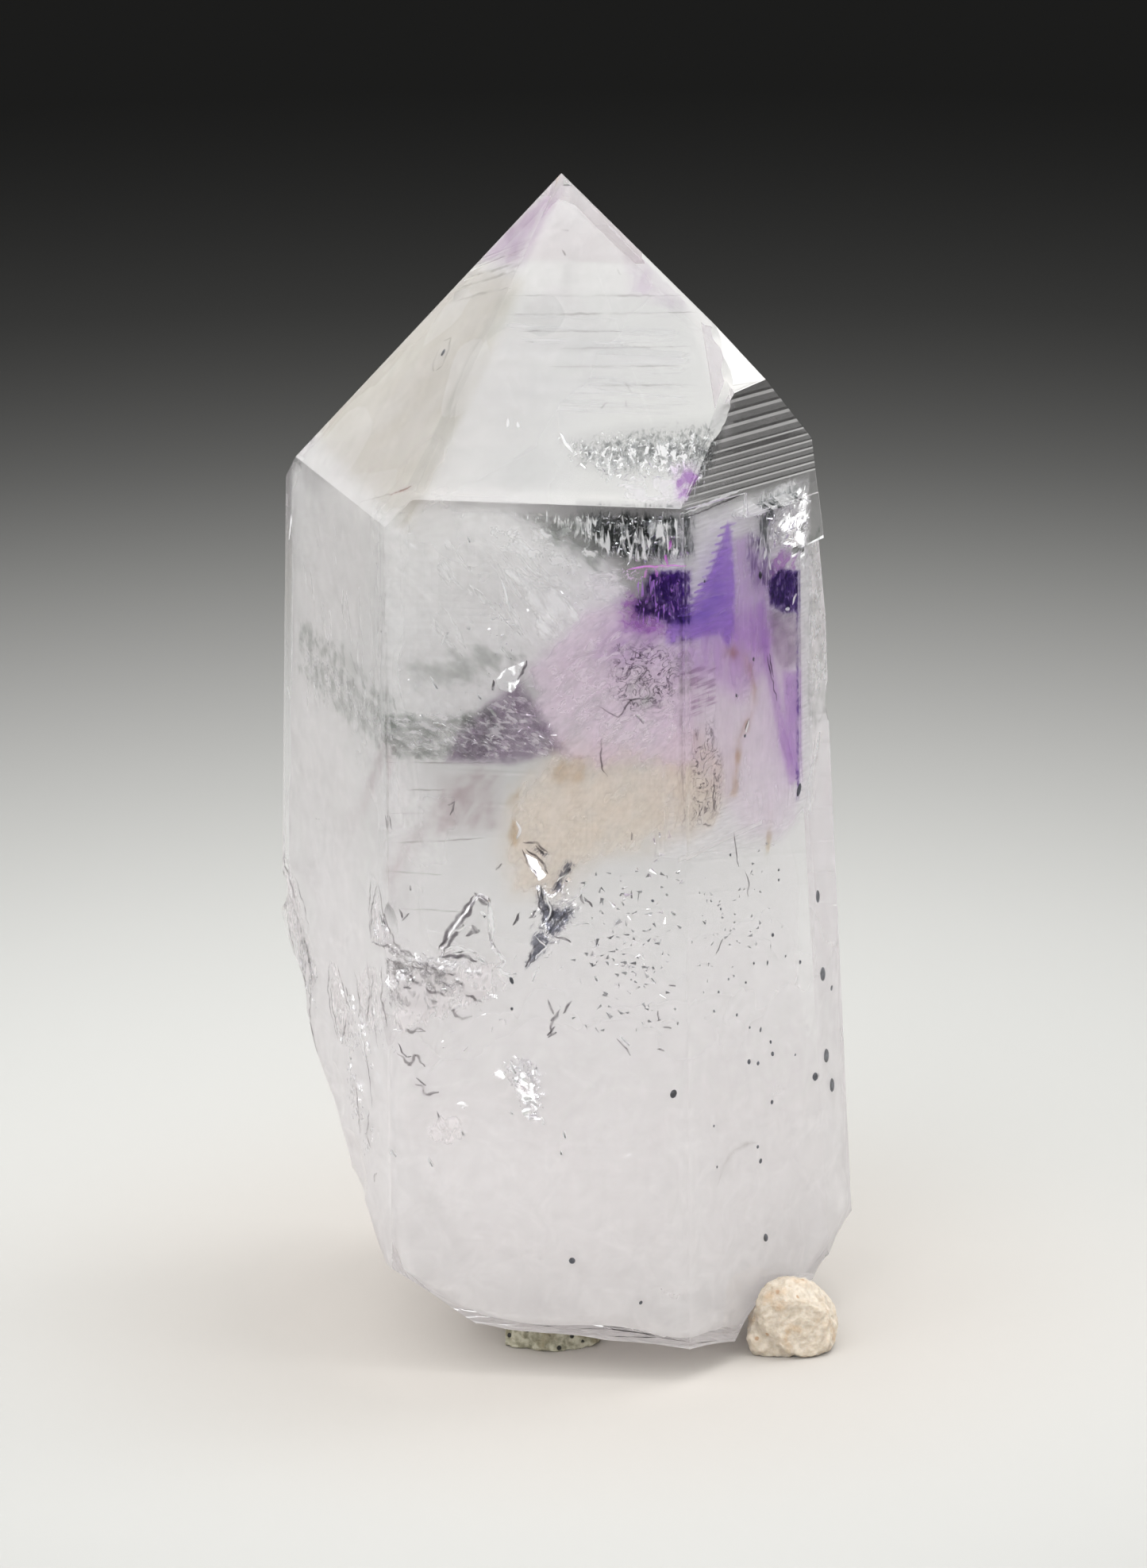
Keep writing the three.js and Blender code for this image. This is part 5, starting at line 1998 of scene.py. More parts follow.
STROKES = (
    # Painted shade along the front face's edges with the left and right faces.
    Strokes("left_edge_shade", P2, (
        ((-10.15, 60.6), (-10.15, 52), (-10.1, 44), (-10.1, 34)),
    ), SOFT_LINE_AND_PAINTED_SHADE, 0.3, 0.3, 0.05),
    Strokes("front_edge_shade", P2, (
        ((9.75, 57.6), (9.75, 52), (9.7, 46), (9.7, 41)),
    ), SOFT_LINE_AND_PAINTED_SHADE, 0.8, 0.35, 0.05),
    Strokes("star_hairlines", P2, (
        ((0.1, 34.9), (0.3, 33.6), (0.9, 32.2)), ((-0.2, 34.6), (0.2, 33), (0.4, 31.8)),
        ((0.7, 33.9), (0.8, 32.8), (0.4, 31.4)), ((2.5, 33.5), (1.6, 32.8), (0.8, 32)),
        ((2.2, 33.1), (1.2, 32.4), (0.6, 31.5)), ((0.9, 34.6), (1.6, 35.6), (2.2, 36.3)),
        ((-0.7, 32.5), (-0.1, 33.1)), ((0.2, 31.4), (-0.3, 30.4), (-1.1, 29)),
        ((0.5, 30.9), (-0.1, 30), (-0.8, 29.2)), ((-1.4, 32.9), (-1.8, 31.9)), ((3, 34.2), (3.6, 33.4)),
        ((1, 31.4), (2.2, 30.9)), ((2.6, 34.8), (3, 33.6)),
    ), HAIRLINE_PAINTED_SHADE, 0.2, 0.7, 0.2),
    Strokes("star_threads", P2, (
        ((0.5, 34.6), (0.7, 33.2), (0.5, 32.2)), ((-0.3, 31.2), (0.4, 30.6), (-0.4, 29.6)),
        ((1.2, 35.2), (2, 36)), ((1.8, 33.6), (2.8, 34.4), (3.2, 35.4)), ((2.2, 32.2), (3.4, 32.4)),
        ((0, 29.2), (-0.6, 28)),
    ), WHITE_FLECKS_AND_PAINTED_GLINTS, 0.16, 0.6, 0.2),
    Strokes("lower_crack", P2, (
        ((0.6, 26.9), (0.9, 25.7)), ((2.1, 26.9), (1.5, 25.8)), ((1.4, 26.2), (0.9, 25.4), (0.6, 24.4)),
        ((0.5, 24.1), (1.2, 24.6)), ((1.2, 26), (0.7, 25.2)), ((1, 25), (0.4, 24.2)),
    ), HAIRLINE_PAINTED_SHADE, 0.24, 0.6, 0.15),
    Strokes("small_marks", P2, (
        ((6.2, 38.9), (6.2, 38.2)), ((6.2, 34.8), (6.15, 34.1)), ((8.6, 28.2), (9.2, 28.1)),
        ((5.1, 24.3), (5.6, 23.8), (6.1, 23)), ((7.9, 26.4), (7.9, 25.5)), ((8.2, 25.2), (8.9, 25.15)),
        ((7.8, 23.65), (8.4, 23.5)), ((-1.3, 33), (-1.8, 31.9)), ((-9.4, 32.9), (-9.2, 32.1)),
        ((-9.2, 32), (-8.7, 32.7)), ((-8.7, 34.6), (-8.65, 34.1)), ((-6.1, 40.3), (-5.5, 40.6)),
        ((-5.6, 40.7), (-5.9, 39.5)), ((-2.9, 35.8), (-2.4, 36.4)),
        ((4.3, 45.6), (4.25, 44.2), (4.3, 43.3), (4.7, 42.6)), ((5.3, 52.1), (5.7, 51.5)),
        ((5.3, 51.6), (5.7, 51.9)), ((5.5, 52.2), (5.5, 51.4)), ((8.6, 50), (9, 49)),
        ((8.9, 49.2), (8.7, 48.9)), ((3.9, 47.8), (5.4, 46.9), (6.2, 48.2), (7.8, 48.4)),
        ((6.5, 47.2), (7.2, 46.5)), ((-7.9, 26.6), (-6.9, 26.4)), ((-9.9, 28.2), (-9.3, 27.4), (-8.2, 27.2)),
        ((-8.6, 28.9), (-7.6, 28.6), (-7, 27.9)), ((-6.6, 27.9), (-5.9, 27.4)), ((-8.4, 21), (-7.6, 20.4)),
        ((-7, 18.7), (-6.6, 17.6)), ((-9.6, 23.4), (-9, 22.4), (-8.6, 22.6)),
    ), HAIRLINE_PAINTED_SHADE, 0.17, 0.5, 0.12),
    # Painted shade: dark lines along the hollow's outline, where its walls turn the light away.
    Strokes("hollow_painted_shade_outline", P2, (
        ((-4.3, 34.1), (-5.2, 32.8), (-6, 31.6), (-6.8, 30)), ((-4, 34), (-5, 32.5), (-6.5, 29.8)),
        ((-4.4, 34.2), (-3.3, 33.6)), ((-4.1, 33.9), (-3.4, 33.3)),
        ((-6.8, 29.6), (-5.2, 29.7), (-4.1, 29.3)), ((-3.9, 29.2), (-3.1, 28.6)), ((-5, 31.2), (-3.9, 31.6)),
        ((-4.6, 31.9), (-4.1, 31.3)),
    ), HAIRLINE_PAINTED_SHADE, 0.42, 0.6, 0.2),
    # Painted highlights: white strokes where the hollow's walls glint.
    Strokes("hollow_painted_highlights", P2, (
        ((-3.3, 33.4), (-3.15, 32), (-3.2, 30.8)), ((-2.9, 30), (-2.3, 29.4), (-3, 28.9)),
        ((-6.2, 30.2), (-5.2, 30.3), (-4.2, 30)), ((-4, 32.9), (-3.6, 32.4)), ((-5.6, 31.4), (-5, 32)),
        ((-4.2, 29.7), (-3.4, 29.2)), ((-5.8, 29.9), (-5, 30)), ((-2.8, 29), (-2, 28.4), (-1.6, 28.8)),
    ), WHITE_FLECKS_AND_PAINTED_GLINTS, 0.4, 0.5, 0.2),
    Strokes("bright_flecks", P2, (
        ((8.8, 33.4), (9.2, 33.1)), ((9.1, 36.2), (9.5, 36.1)), ((3.7, 28.7), (3.9, 28.2)),
        ((8.5, 34.7), (8.7, 34.5)), ((0, 18.6), (0.25, 17.9)), ((1.5, 17.6), (1.7, 17)),
        ((-2.2, 18.9), (-1.8, 18.6)), ((1.3, 16.2), (1.4, 15.8)), ((-5.4, 17.4), (-5.2, 16.9)),
        ((-7.6, 15.4), (-7.3, 14.6)), ((-10.2, 16), (-9.7, 15.2)), ((6.6, 47.2), (6.9, 46.8)),
        ((7, 46.9), (7.2, 46.6)), ((-2.3, 56.4), (-2, 55), (-1.8, 54)), ((-4.6, 59.3), (-4.3, 58.8)),
        ((-4.7, 53), (-4.5, 52.6)), ((-4, 48.2), (-3.7, 47.8)), ((-1.5, 39.4), (-1.2, 38.8), (-1.5, 38)),
        ((-7.2, 49.4), (-6.6, 48.4)), ((-6.4, 51.6), (-5.9, 52.6)), ((-3.2, 47.2), (-2.7, 46.6)),
        ((5.3, 24.5), (6, 23.7)), ((-1.9, 21.1), (-1.4, 20.9)), ((-2.1, 22.4), (-1.7, 21.4)),
    ), WHITE_FLECKS_AND_PAINTED_GLINTS, 0.26, 0.5, 0.1),
    Strokes("growth_lines", P2, (
        ((-10.2, 43.2), (-6, 43.3), (-2.2, 43.45)), ((-10.2, 37.5), (-6.2, 37.8), (-3, 38.2)),
        ((-10.2, 35.5), (-6.4, 35.4)), ((-9.4, 32.9), (-7.2, 32.9), (-5.1, 32.8)),
        ((-8.8, 41.3), (-6.2, 41.4)), ((-10, 39.6), (-7.6, 39.7)),
    ), SOFT_LINE_AND_PAINTED_SHADE, 0.2, 0.5, 0.05),
    Strokes("left_hairlines", P1, (
        ((-10.6, 28.5), (-8.9, 27.1), (-7.4, 25.6), (-5.9, 23.6)), ((-8.4, 24.8), (-7.6, 23), (-7.2, 21.4)),
        ((-7.3, 21), (-5.6, 18.6), (-4.2, 15.2)), ((-3, 24), (-2.6, 22.4), (-1.6, 20.8)),
        ((-0.4, 24.8), (0.4, 23.8)), ((5.5, 34.1), (4.4, 31.8), (4.2, 29.6)),
        ((4.3, 29.5), (5.8, 29.8), (7.2, 30.1)), ((5.6, 32.3), (6.6, 31.2)), ((6.9, 39.4), (7.4, 38.4)),
        ((4.6, 27.6), (4.2, 25), (5.4, 22.2)), ((2.6, 22.4), (3.8, 19.6), (4.2, 17.6)),
    ), HAIRLINE_PAINTED_SHADE, 0.2, 0.5, 0.2),
    Strokes("chip_outlines", P1, (
        ((-11.6, 31.6), (-10.8, 30), (-9.6, 28.6), (-8.2, 27.2)), ((-9.4, 30), (-7.6, 28.2), (-6.6, 26.6)),
        ((-10.8, 27.2), (-10.2, 25.6), (-9.2, 24)), ((-7.6, 26.2), (-6.8, 24.6), (-6.2, 23)),
        ((-6.4, 22.6), (-6.8, 20.6), (-6, 19.4)), ((-3.1, 25.8), (-3.4, 23.6), (-2.6, 21.6), (-1.6, 20.4)),
        ((-1.8, 25.9), (-0.8, 24.6), (0.3, 23.4)), ((-0.2, 22.6), (-0.6, 21.6), (-1.2, 20.4)),
        ((4.2, 34), (4, 31.4), (4.2, 29.6)), ((5.7, 34.2), (6.4, 32.4), (7.1, 30.8)),
        ((1.3, 26.6), (2.2, 24.8), (2, 23.2)), ((3.4, 28), (4, 26), (3.4, 23.4)),
        ((6.2, 28.4), (6, 26), (6.8, 24.2)), ((3.6, 17.4), (3.2, 15.8), (3.8, 14.6)),
        ((4.8, 13.4), (4.4, 12.4)), ((1, 19), (1.8, 16.8), (2, 15)),
    ), CHIP_LINE, 0.3, 0.3, 0.25),
    Strokes("rough_lines", P2, (
        ((-10.4, 31.4), (-9.4, 30.2), (-8.2, 29.4)), ((-9.8, 29), (-8.4, 27.8), (-7, 27), (-5.6, 26.6)),
        ((-7.8, 29.2), (-6.6, 28.4), (-5.4, 28.4)), ((-10, 27.2), (-8.6, 26.2), (-7.2, 26)),
        ((-5.6, 28), (-4.8, 27), (-3.8, 26.4)), ((-9.8, 24.8), (-8.8, 24.2), (-7.6, 24.4)),
        ((-9.6, 22.8), (-8.8, 21.8), (-8.4, 22.6), (-7.8, 21.6)), ((-8.4, 20.6), (-7.6, 19.8), (-6.8, 20.2)),
        ((-9.4, 26.4), (-8.2, 25.6)), ((-6.4, 26.2), (-5.2, 25.2), (-4.4, 25.4)), ((-4.4, 28.6), (-3.4, 28)),
        ((-6.8, 30.4), (-6, 30.9)),
    ), CHIP_LINE, 0.34, 0.4, 0.3),
    Strokes("flake_outlines", P2, (
        ((-1.1, 37.4), (-0.6, 36.3), (0, 35.3)), ((-0.9, 37.5), (0.2, 36.7), (0.6, 35.6)),
        ((-1.1, 37.8), (-0.2, 37.9), (0.7, 37.2)), ((-0.3, 37.7), (0.4, 37)), ((-2.9, 49.3), (-3, 48.4)),
        ((-1.3, 49.2), (-0.6, 50.8)),
    ), HAIRLINE_PAINTED_SHADE, 0.26, 0.5, 0.15),
    Strokes(
        "wedge_comb", P3,
        tuple((((across + 1.2, height - 0.08), (across - 0.8, height + 0.05)) for across, height in (
            (-2.8, 59.2), (-3.1, 58.7), (-3.4, 58.2), (-3.8, 57.7), (-4.1, 57.2), (-4.4, 56.8), (-4.8, 56.3),
            (-5.3, 55.9), (-5.7, 55.5), (-6.2, 55.1), (-6.7, 54.7), (-7, 54.2),
        ))),
        PURPLE, 0.36, 0.5, 0.05,
    ),
    Strokes("left_threads", P1, (
        ((-2.8, 23.7), (-2, 22.2), (-1.5, 20.7)), ((0, 24.3), (0.7, 23.3)), ((5.8, 32), (6.8, 30.4)),
        ((-10.4, 27.4), (-9.4, 25.6), (-8.6, 24)), ((-8, 22.8), (-7.4, 21.4)), ((-1.4, 54.9), (-1.1, 54.3)),
        ((-10, 43), (-9.6, 42)), ((4.6, 26.8), (4.9, 24.2)), ((2, 22.8), (3.2, 20.6)),
        ((-10.2, 26.2), (-9.6, 24.8)),
    ), WHITE_FLECKS_AND_PAINTED_GLINTS, 0.3, 0.45, 0.15),
    Strokes("rust_hairline", TIP_LEFT, (
        ((5.4, 61.2), (6, 61.5), (6.6, 61.8), (7.3, 62.4)),
    ), RUST, 0.26, 0.4, 0.15),
    Strokes("tip_left_hairline", TIP_LEFT, (
        ((2.4, 59.8), (3.8, 60.5), (5.4, 61.2), (7.4, 62.4)),
    ), SOFT_LINE_AND_PAINTED_SHADE, 0.2, 0.4, 0.1),
    Strokes("tip_left_lines", TIP_LEFT, (
        ((-2.6, 72.1), (0.2, 73.4), (2.6, 74.6)), ((-2.9, 72.7), (0, 73.9), (2.2, 75)),
        ((-2, 71.4), (0.6, 72.6), (2.9, 73.6)), ((-3.2, 73.3), (-0.6, 74.5), (2, 75.5)),
        ((-0.4, 69.3), (0.2, 69.6), (0.9, 69.1), (1.4, 68.2), (1.1, 67.7)),
        ((-0.3, 68.9), (0.2, 68), (1, 67.7)),
    ), SOFT_LINE_AND_PAINTED_SHADE, 0.3, 0.5, 0.08),
    Strokes("tip_front_lines", TIP_FRONT, (
        ((-3.2, 73.15), (3, 73.3), (9.4, 73.5)), ((-3.8, 72.05), (3, 72.3), (10, 72.6)),
        ((0.4, 70.3), (9.6, 70.7)), ((0, 69.3), (9, 69.6)), ((-2, 71.2), (5, 71.4)),
        ((2, 68.3), (10.2, 68.6)),
    ), SOFT_LINE_AND_PAINTED_SHADE, 0.2, 0.5, 0.05),
    Strokes("tip_front_marks", TIP_FRONT, (
        ((5.2, 68.7), (5.9, 68)), ((4.3, 67.5), (3.8, 67)), ((5.4, 67.7), (5.6, 67.1)),
        ((0.2, 76.9), (0.9, 76.8)), ((0.4, 75.8), (0.8, 75.4)), ((-1.4, 70.7), (-0.9, 70.6)),
        ((4.2, 74.9), (4.5, 74.4)),
    ), SOFT_LINE_AND_PAINTED_SHADE, 0.2, 0.45, 0.08),
    Strokes("tip_front_flecks", TIP_FRONT, (
        ((1.2, 65.7), (1.7, 65.1), (2.3, 64.6)), ((-2.3, 66.4), (-2.2, 65.8)), ((-1.7, 66.2), (-1.5, 65.8)),
        ((-3.6, 67), (-3.5, 66.6)),
    ), WHITE_FLECKS_AND_PAINTED_GLINTS, 0.26, 0.5, 0.1),
    Strokes("right_hairlines", P3, (
        ((1.5, 49.2), (2, 47.4), (2.7, 45.2)), ((1.8, 49), (2.3, 47)), ((-4.3, 29.4), (-3.4, 30.4)),
        ((-7.2, 61), (-3.6, 60.95), (-0.8, 60.95)), ((-5.6, 39), (-4.6, 38.6)),
        ((-0.9, 34.4), (-0.6, 33.4), (-0.7, 32.4)), ((-2.2, 37.6), (-2, 36.2), (-1.6, 34.8)),
        ((-0.4, 45), (-0.9, 44.2)), ((0, 49.2), (0.2, 48.9)), ((-1.9, 47.2), (-1.7, 46.8)),
        ((-4.2, 41.8), (-4.5, 40.6), (-4.2, 39.4)),
    ), HAIRLINE_PAINTED_SHADE, 0.18, 0.5, 0.15),
    Strokes("right_threads", P3, (
        ((-0.75, 61), (-0.8, 60), (-0.8, 59)), ((-0.4, 44.9), (-0.8, 44)), ((4.4, 51.6), (4.9, 52.4)),
        ((3.6, 51.5), (4.2, 51.4)), ((-7.4, 61.4), (-4.2, 61.3), (-0.8, 61.2)),
    ), WHITE_FLECKS_AND_PAINTED_GLINTS, 0.3, 0.45, 0.1),
    Strokes("boomerang_groove", P3, (
        ((-4.3, 13), (-3.6, 14.2), (-2.5, 15), (-1.2, 15.1), (0.3, 14.8)),
    ), SOFT_LINE_AND_PAINTED_SHADE, 0.7, 0.35, 0.05),
    Strokes("strip_marks", STRIP, (
        ((3, 37.8), (3.6, 39.4), (4.6, 41.4)), ((3.2, 36.8), (4.2, 38.4)), ((2.8, 39.6), (3.8, 41.8)),
    ), SOFT_LINE_AND_PAINTED_SHADE, 0.3, 0.5, 0.2),
    # Painted highlights: white strokes for glare along the strip.
    Strokes("strip_painted_glare", STRIP, (
        ((1.8, 38.3), (2.6, 39), (3.6, 40)), ((3.6, 40.2), (4.4, 41.4)), ((1.9, 38.4), (2.4, 36.2)),
    ), WHITE_FLECKS_AND_PAINTED_GLINTS, 0.5, 0.4, 0.1),
    Strokes("magenta_line", P2, (
        ((6, 57.3), (6.9, 57.55), (8.4, 57.7), (10, 57.75)), ((8.7, 57.7), (8.65, 58.6)),
        ((8.9, 58.8), (9, 59.6)), ((7.4, 57.5), (7.2, 56.7)), ((7.9, 57.5), (8.1, 56.8)),
    ), MAGENTA_LINE, 0.24, 0.5, 0.12),
)

# Flecks and grains

BRIGHT_SLIVERS = GrainFinish("bright_slivers", (0.9, 0.9, 0.92), (0.98, 0.98, 1.0), 0.18, 1.0)
GREY_GRAIN = GrainFinish("grey_grain", (0.14, 0.14, 0.15), (0.5, 0.5, 0.52), 0.5)
FLECKS = (
    Flecks("cloud_flecks", Patch(P2, (
        (-10.5, 61), (3.5, 61), (4, 53), (-1, 48), (-10.5, 44),
    ), 2.0), 1.6, 5.0, (0.2, 0.9), BRIGHT_SLIVERS),
    Flecks(
        "strand_flecks", Patch(P2, ((3, 61.3), (9.8, 61.3), (9.8, 57.8), (5, 57.6)), 0.5, 0.3, 0.5), 1.0,
        14.0, (0.15, 0.7), BRIGHT_SLIVERS, seed=2,
    ),
    Flecks(
        "crest_flecks", Patch(P3, ((0.4, 59.6), (6.2, 58.8), (6.2, 55), (3, 55.4)), 0.6, 0.3, 0.6), 0.9, 8.0,
        (0.2, 0.8), BRIGHT_SLIVERS, seed=3,
    ),
    Flecks(
        "tip_flecks", Patch(TIP_FRONT, ((1, 65), (11.3, 65.6), (11, 63), (4, 63)), 0.6, 0.3, 0.5), 0.9, 10.0,
        (0.15, 0.6), BRIGHT_SLIVERS, seed=4,
    ),
    Flecks(
        "lower_flecks", Patch(P2, ((-10, 32), (9.5, 34), (9.5, 12), (-9, 12)), 3.0, 0.6, 2.0), 2.6, 0.5,
        (0.15, 0.6), BRIGHT_SLIVERS, seed=5,
    ),
    Flecks(
        "rough_flecks", Patch(P2, ((-10, 31), (-4.5, 30.4), (-4, 26), (-10, 24)), 1.0, 0.4, 0.8), 1.0, 5.0,
        (0.15, 0.7), BRIGHT_SLIVERS, seed=6,
    ),
    Flecks(
        "fine_sprinkle", Patch(P2, ((1.5, 36), (9.8, 38), (9.8, 24), (2.5, 24)), 2.5, 0.5), 0.3, 1.6,
        (0.25, 0.6), GREY_GRAIN, slim=0.5, seed=8,
    ),
    Flecks(
        "bright_sprinkle", Patch(P2, ((2.5, 37), (9.8, 40), (9.8, 26), (3.5, 26)), 2.5, 0.5), 0.3, 1.2,
        (0.25, 0.7), BRIGHT_SLIVERS, slim=0.5, seed=9,
    ),
    Flecks(
        "right_sprinkle", Patch(P3, ((-7.5, 37), (3.5, 36), (3.5, 27), (-7.5, 26)), 2.5, 0.5), 0.3, 1.0,
        (0.2, 0.45), GREY_GRAIN, slim=0.5, seed=10,
    ),
    Flecks("triangle_flecks", Patch(P2, (
        (-9.5, 46.6), (0.5, 48.4), (2.5, 44), (-9.5, 43.4),
    ), 0.8, 0.4, 0.5), 0.9, 5.0, (0.15, 0.6), BRIGHT_SLIVERS, seed=7),
)

DARK_GRAIN = GrainFinish("dark_grain", (0.02, 0.02, 0.03), (0.1, 0.11, 0.14), 0.5)

# The dark grains behind each face: across, height, size, depth and length
GRAINS = {
    P2: (
        (8.9, 20.5, 0.5, 0.5, 1.3), (2, 8.4, 0.45), (6.6, 5.6, 0.3), (7.6, 34.1, 0.22), (-1.9, 26.1, 0.24),
        (-1.9, 28.1, 0.3, 0.5, 1.8),
    ),
    P3: (
        (5, 38.4, 0.5, 0.4, 2), (1.7, 21.5, 0.28), (1.9, 20.6, 0.36), (-0.7, 20.8, 0.38), (0.3, 20.4, 0.3),
        (1.8, 17.2, 0.32), (0.5, 13.4, 0.38), (0.2, 14.5, 0.26), (1, 7.8, 0.6, 0.7),
        (1.4, 27.2, 0.22, 0.4, 1.6), (-0.1, 27.6, 0.22), (5, 26.2, 0.3), (-2, 24.5, 0.24), (-4.5, 25.5, 0.22),
        (-4, 26.7, 0.2), (-1, 26.5, 0.2), (-2.9, 27.3, 0.2), (0.6, 22.7, 0.2, 0.4, 2), (-0.6, 23.2, 0.2),
        (4.4, 19.8, 0.2), (3.4, 27.1, 0.2), (2, 29, 0.3, 0.8), (-3.7, 32.5, 0.2), (2.7, 33.4, 0.2),
        (2.7, 32.7, 0.2), (-2.6, 36, 0.24), (-4.6, 17.4, 0.2), (-4.3, 14.4, 0.2), (-5.2, 56, 0.24),
        (0.9, 54.7, 0.36, 0.5, 1.6), (0.1, 49, 0.26), (-1.8, 47, 0.24), (-0.9, 43.9, 0.24),
    ),
    STRIP: (
        (3.4, 30, 0.7, 0.4, 1.3), (4, 24.3, 1), (5.5, 22.8, 0.4), (2.7, 17.5, 0.6), (4.3, 18.4, 1, 0.9),
        (5.2, 16, 1, 0.9),
    ),
    TIP_LEFT: ((0.5, 68.8, 0.3, 0.8, 2),),
}
SPECKS = Specks(
    "dark_specks", [Speck(face, *row) for face, rows in GRAINS.items() for row in rows], DARK_GRAIN,
)


# The studio


@dataclass(frozen=True)
class SoftLight:
    """A soft patch of light in the room: the way to it, its half width in degrees and its brightness."""

    towards: Place
    half_width: float
    brightness: float


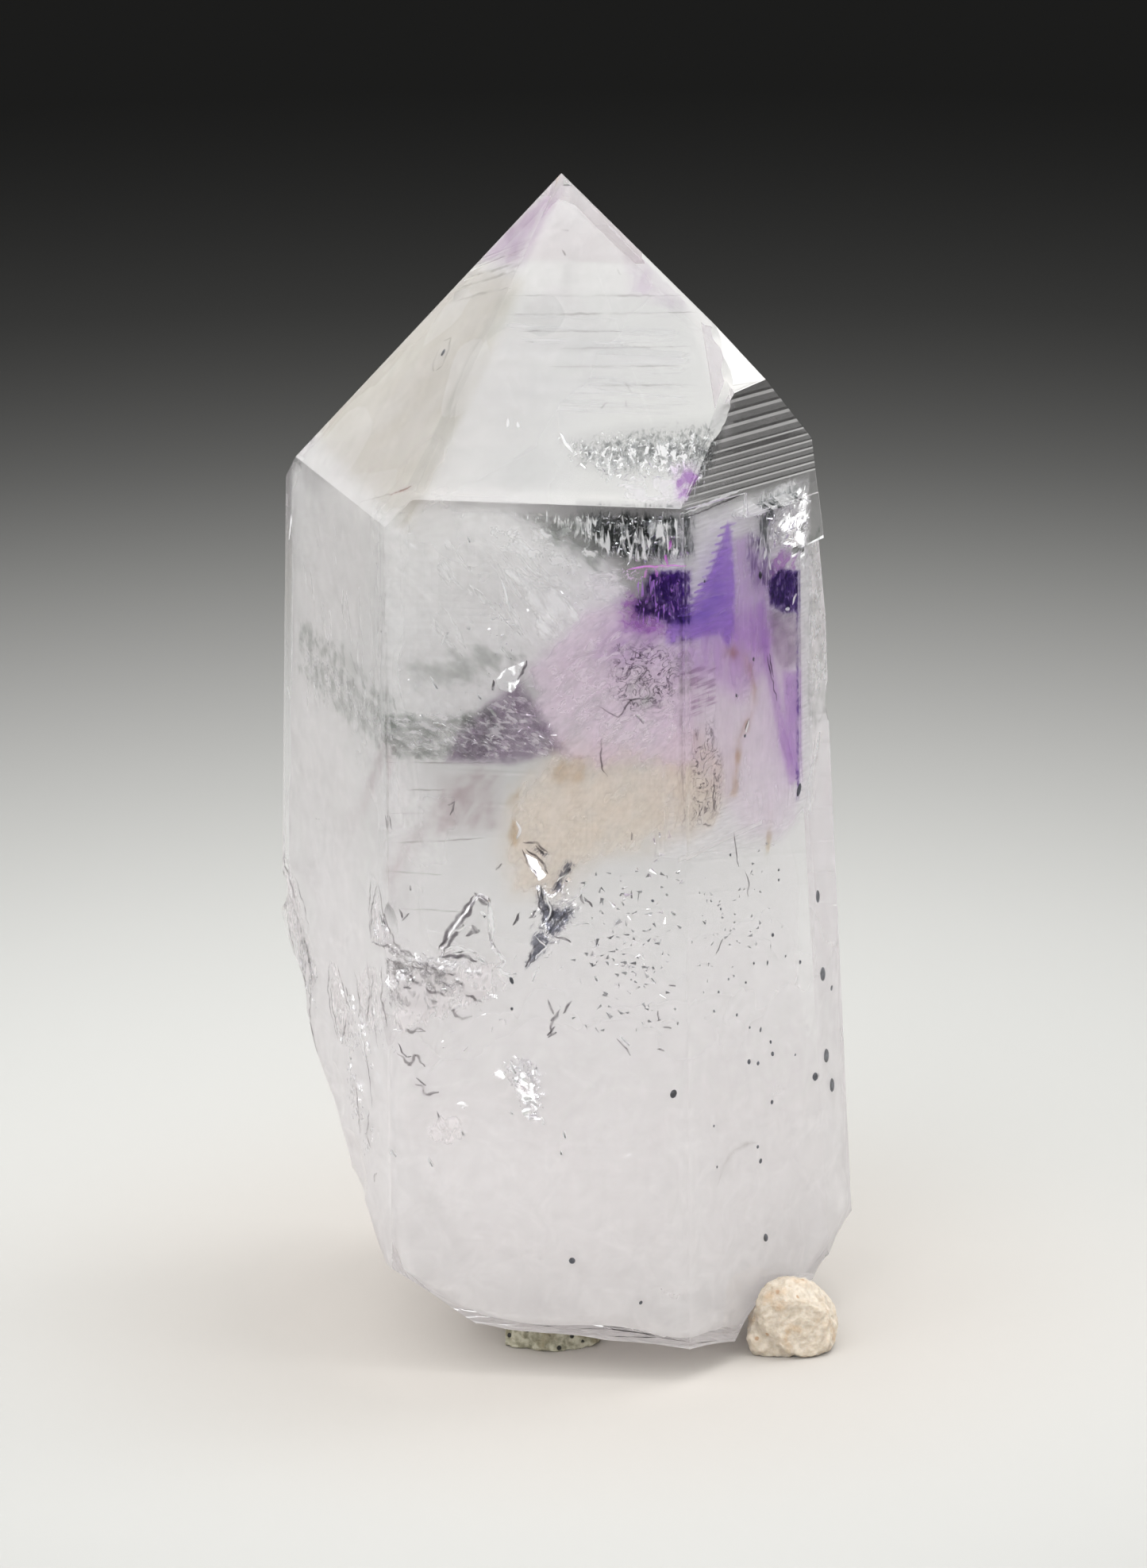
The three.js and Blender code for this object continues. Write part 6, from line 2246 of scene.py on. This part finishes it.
@dataclass
class Studio:
    """A pale floor with painted light on it, in a soft bright room.

    The paper's rows are millimetres from the crystal and how bright the paper is there. This brightness is
    painted light: lighter under the crystal, where its shadow falls, and fading to dark far away; near the
    crystal the paper is also painted warmer, for its shadow. The room's light goes from the horizon's
    brightness to the zenith's between two levels of the way up.
    """

    floor_radius: float = 3.0
    floor_corners: int = 128
    warmth: Colour = (1.0, 1.0, 0.965)
    # Painted shadow: within this reach of the crystal the paper takes a warmer tint, for the shadow under it.
    painted_shadow_warmth: Colour = (1.0, 0.945, 0.88)
    painted_shadow_reach: float = 25
    # Painted light: the paper is lighter under the crystal, where its shadow falls, and fades to dark far
    # from it, for the light's falloff.
    paper_with_painted_light: Sequence[tuple[float, float]] = (
        (12, 0.52),
        (22, 0.4),
        (44, 0.4),
        (80, 0.335),
        (112, 0.225),
        (143, 0.125),
        (174, 0.042),
        (208, 0.0135),
        (256, 0.0035),
    )
    horizon: float = 0.95
    zenith: float = 1.95
    levels: Spot = (-0.05, 1.0)
    core_share: float = 0.4
    lights: Sequence[SoftLight] = (
        SoftLight((0.3, 0.1, 0.8), 26, 2.6),
        SoftLight((0.773, 0.417, 0.478), 13, 4.0),
        SoftLight((-0.45, -0.85, 0.45), 42, 1.9),
        SoftLight((0.92, -0.35, 0.2), 26, 1.0),
    )

    def build(self) -> None:
        """Adds the floor and the room's light."""
        self.lay_floor()
        self.light_room()

    def lay_floor(self) -> None:
        """Lays the round floor, with painted light: pale round the crystal and dark far away."""
        bpy.ops.mesh.primitive_circle_add(
            vertices=self.floor_corners, radius=self.floor_radius, fill_type="NGON"
        )
        floor = settle(bpy.context.object, "studio_floor")
        paint = Paint("floor_paper_painted_light")
        far = paint.node("ShaderNodeVectorMath", {0: paint.place()}, operation="LENGTH").outputs["Value"]
        reach = self.paper_with_painted_light[-1][0] * MM
        share = paint.spread(far, 0, reach)
        ramp = paint.node("ShaderNodeValToRGB", {"Fac": share})
        stops = ramp.color_ramp.elements
        while len(stops) < len(self.paper_with_painted_light):
            stops.new(0.5)
        for stop, (distance, grey) in zip(stops, self.paper_with_painted_light):
            stop.position = distance * MM / reach
            # Painted shadow: stops near the crystal take the warmer shadow tint.
            warmth = self.painted_shadow_warmth if distance < self.painted_shadow_reach else self.warmth
            stop.color = rgba(tuple(grey * part for part in warmth))
        ramp.color_ramp.interpolation = "B_SPLINE"
        surface = paint.node("ShaderNodeBsdfDiffuse", {"Color": ramp.outputs["Color"]})
        floor.data.materials.append(paint.finish(surface.outputs["BSDF"]))

    def light_room(self) -> None:
        """Lets the room light everything softly, more from above and from its soft lights."""
        world = bpy.data.worlds.new("studio_room")
        bpy.context.scene.world = world
        world.use_nodes = True
        world.cycles.sampling_method = "NONE"
        wiring = Wiring(world.node_tree)
        where = wiring.node("ShaderNodeTexCoord").outputs["Generated"]
        height = wiring.node("ShaderNodeSeparateXYZ", {"Vector": where}).outputs["Z"]
        total = self.graded(wiring, height, self.levels, (self.horizon, self.zenith))
        for light in self.lights:
            way = {0: where, 1: Vector(light.towards).normalized()}
            towards = wiring.node("ShaderNodeVectorMath", way, operation="DOT_PRODUCT").outputs["Value"]
            rim = math.cos(math.radians(light.half_width))
            core = math.cos(math.radians(light.half_width * self.core_share))
            glow = self.graded(wiring, towards, (rim, core), (0.0, light.brightness))
            total = wiring.math("ADD", total, glow)
        wiring.tree.links.new(total, wiring.tree.nodes["Background"].inputs["Color"])

    def graded(self, wiring: Wiring, value: Socket, levels: Spot, results: Spot) -> Socket:
        """A soft step from one result to the other as a value goes from one level to the other.

        Args:
            wiring: The room's node tree.
            value: The value that goes up.
            levels: Where the step starts and ends.
            results: What it starts and ends with.

        Returns:
            The graded value.
        """
        inputs = {"Value": value}
        inputs.update(zip(("From Min", "From Max", "To Min", "To Max"), (*levels, *results)))
        return wiring.node("ShaderNodeMapRange", inputs, interpolation_type="SMOOTHSTEP").outputs["Result"]


def set_render_quality() -> None:
    """Lets light pass the many clear surfaces, and cleans the grain out of the picture."""
    scene = bpy.context.scene
    cycles = scene.cycles
    cycles.use_denoising = True
    cycles.max_bounces = 32
    cycles.transmission_bounces = 32
    cycles.glossy_bounces = 32
    cycles.diffuse_bounces = 20
    cycles.transparent_max_bounces = 64
    cycles.sample_clamp_indirect = 6.0
    scene.view_settings.view_transform = "Standard"


GREY_ROCK = RockFinish(
    "grey_host_rock", (0.2, 0.19, 0.13), (0.42, 0.4, 0.31), (0.015, 0.015, 0.012), (0.2, 0.17, 0.1),
    grain_size=0.45, speck_size=0.7, speck_share=0.35, roughness=0.85, translucency=0.0,
)
CREAM_ROCK = RockFinish(
    "cream_host_rock", (0.42, 0.36, 0.285), (0.52, 0.46, 0.38), (0.36, 0.24, 0.15), (0.42, 0.32, 0.22),
    grain_size=0.5, speck_size=0.7, speck_share=0.08, roughness=0.55, translucency=0.3,
)
ROCKS = (
    RockRemnant("grey_rock", "grey_rock_remnant", "grey_rock", GREY_ROCK, grain=0.4),
    RockRemnant("cream_rock", "cream_rock_remnant", "cream_rock", CREAM_ROCK, grain=0.34),
)


def main() -> None:
    """Builds the specimen and its studio."""
    logging.basicConfig(level=logging.INFO, format="%(name)s: %(message)s")
    PHOTO.place_camera()
    Studio().build()
    set_render_quality()
    inclusions = (*PHANTOMS, *ZONES, *VEILS, *CRACKS, *STROKES, *FLECKS, SPECKS, NegativeCrystal())
    for maker in (CrystalBody(), *ROCKS, *inclusions):
        piece = maker.build()
        maker.dress(piece)
        LOG.info("%s: %d faces", piece.name, len(piece.data.polygons))


if __name__ == "__main__":
    main()
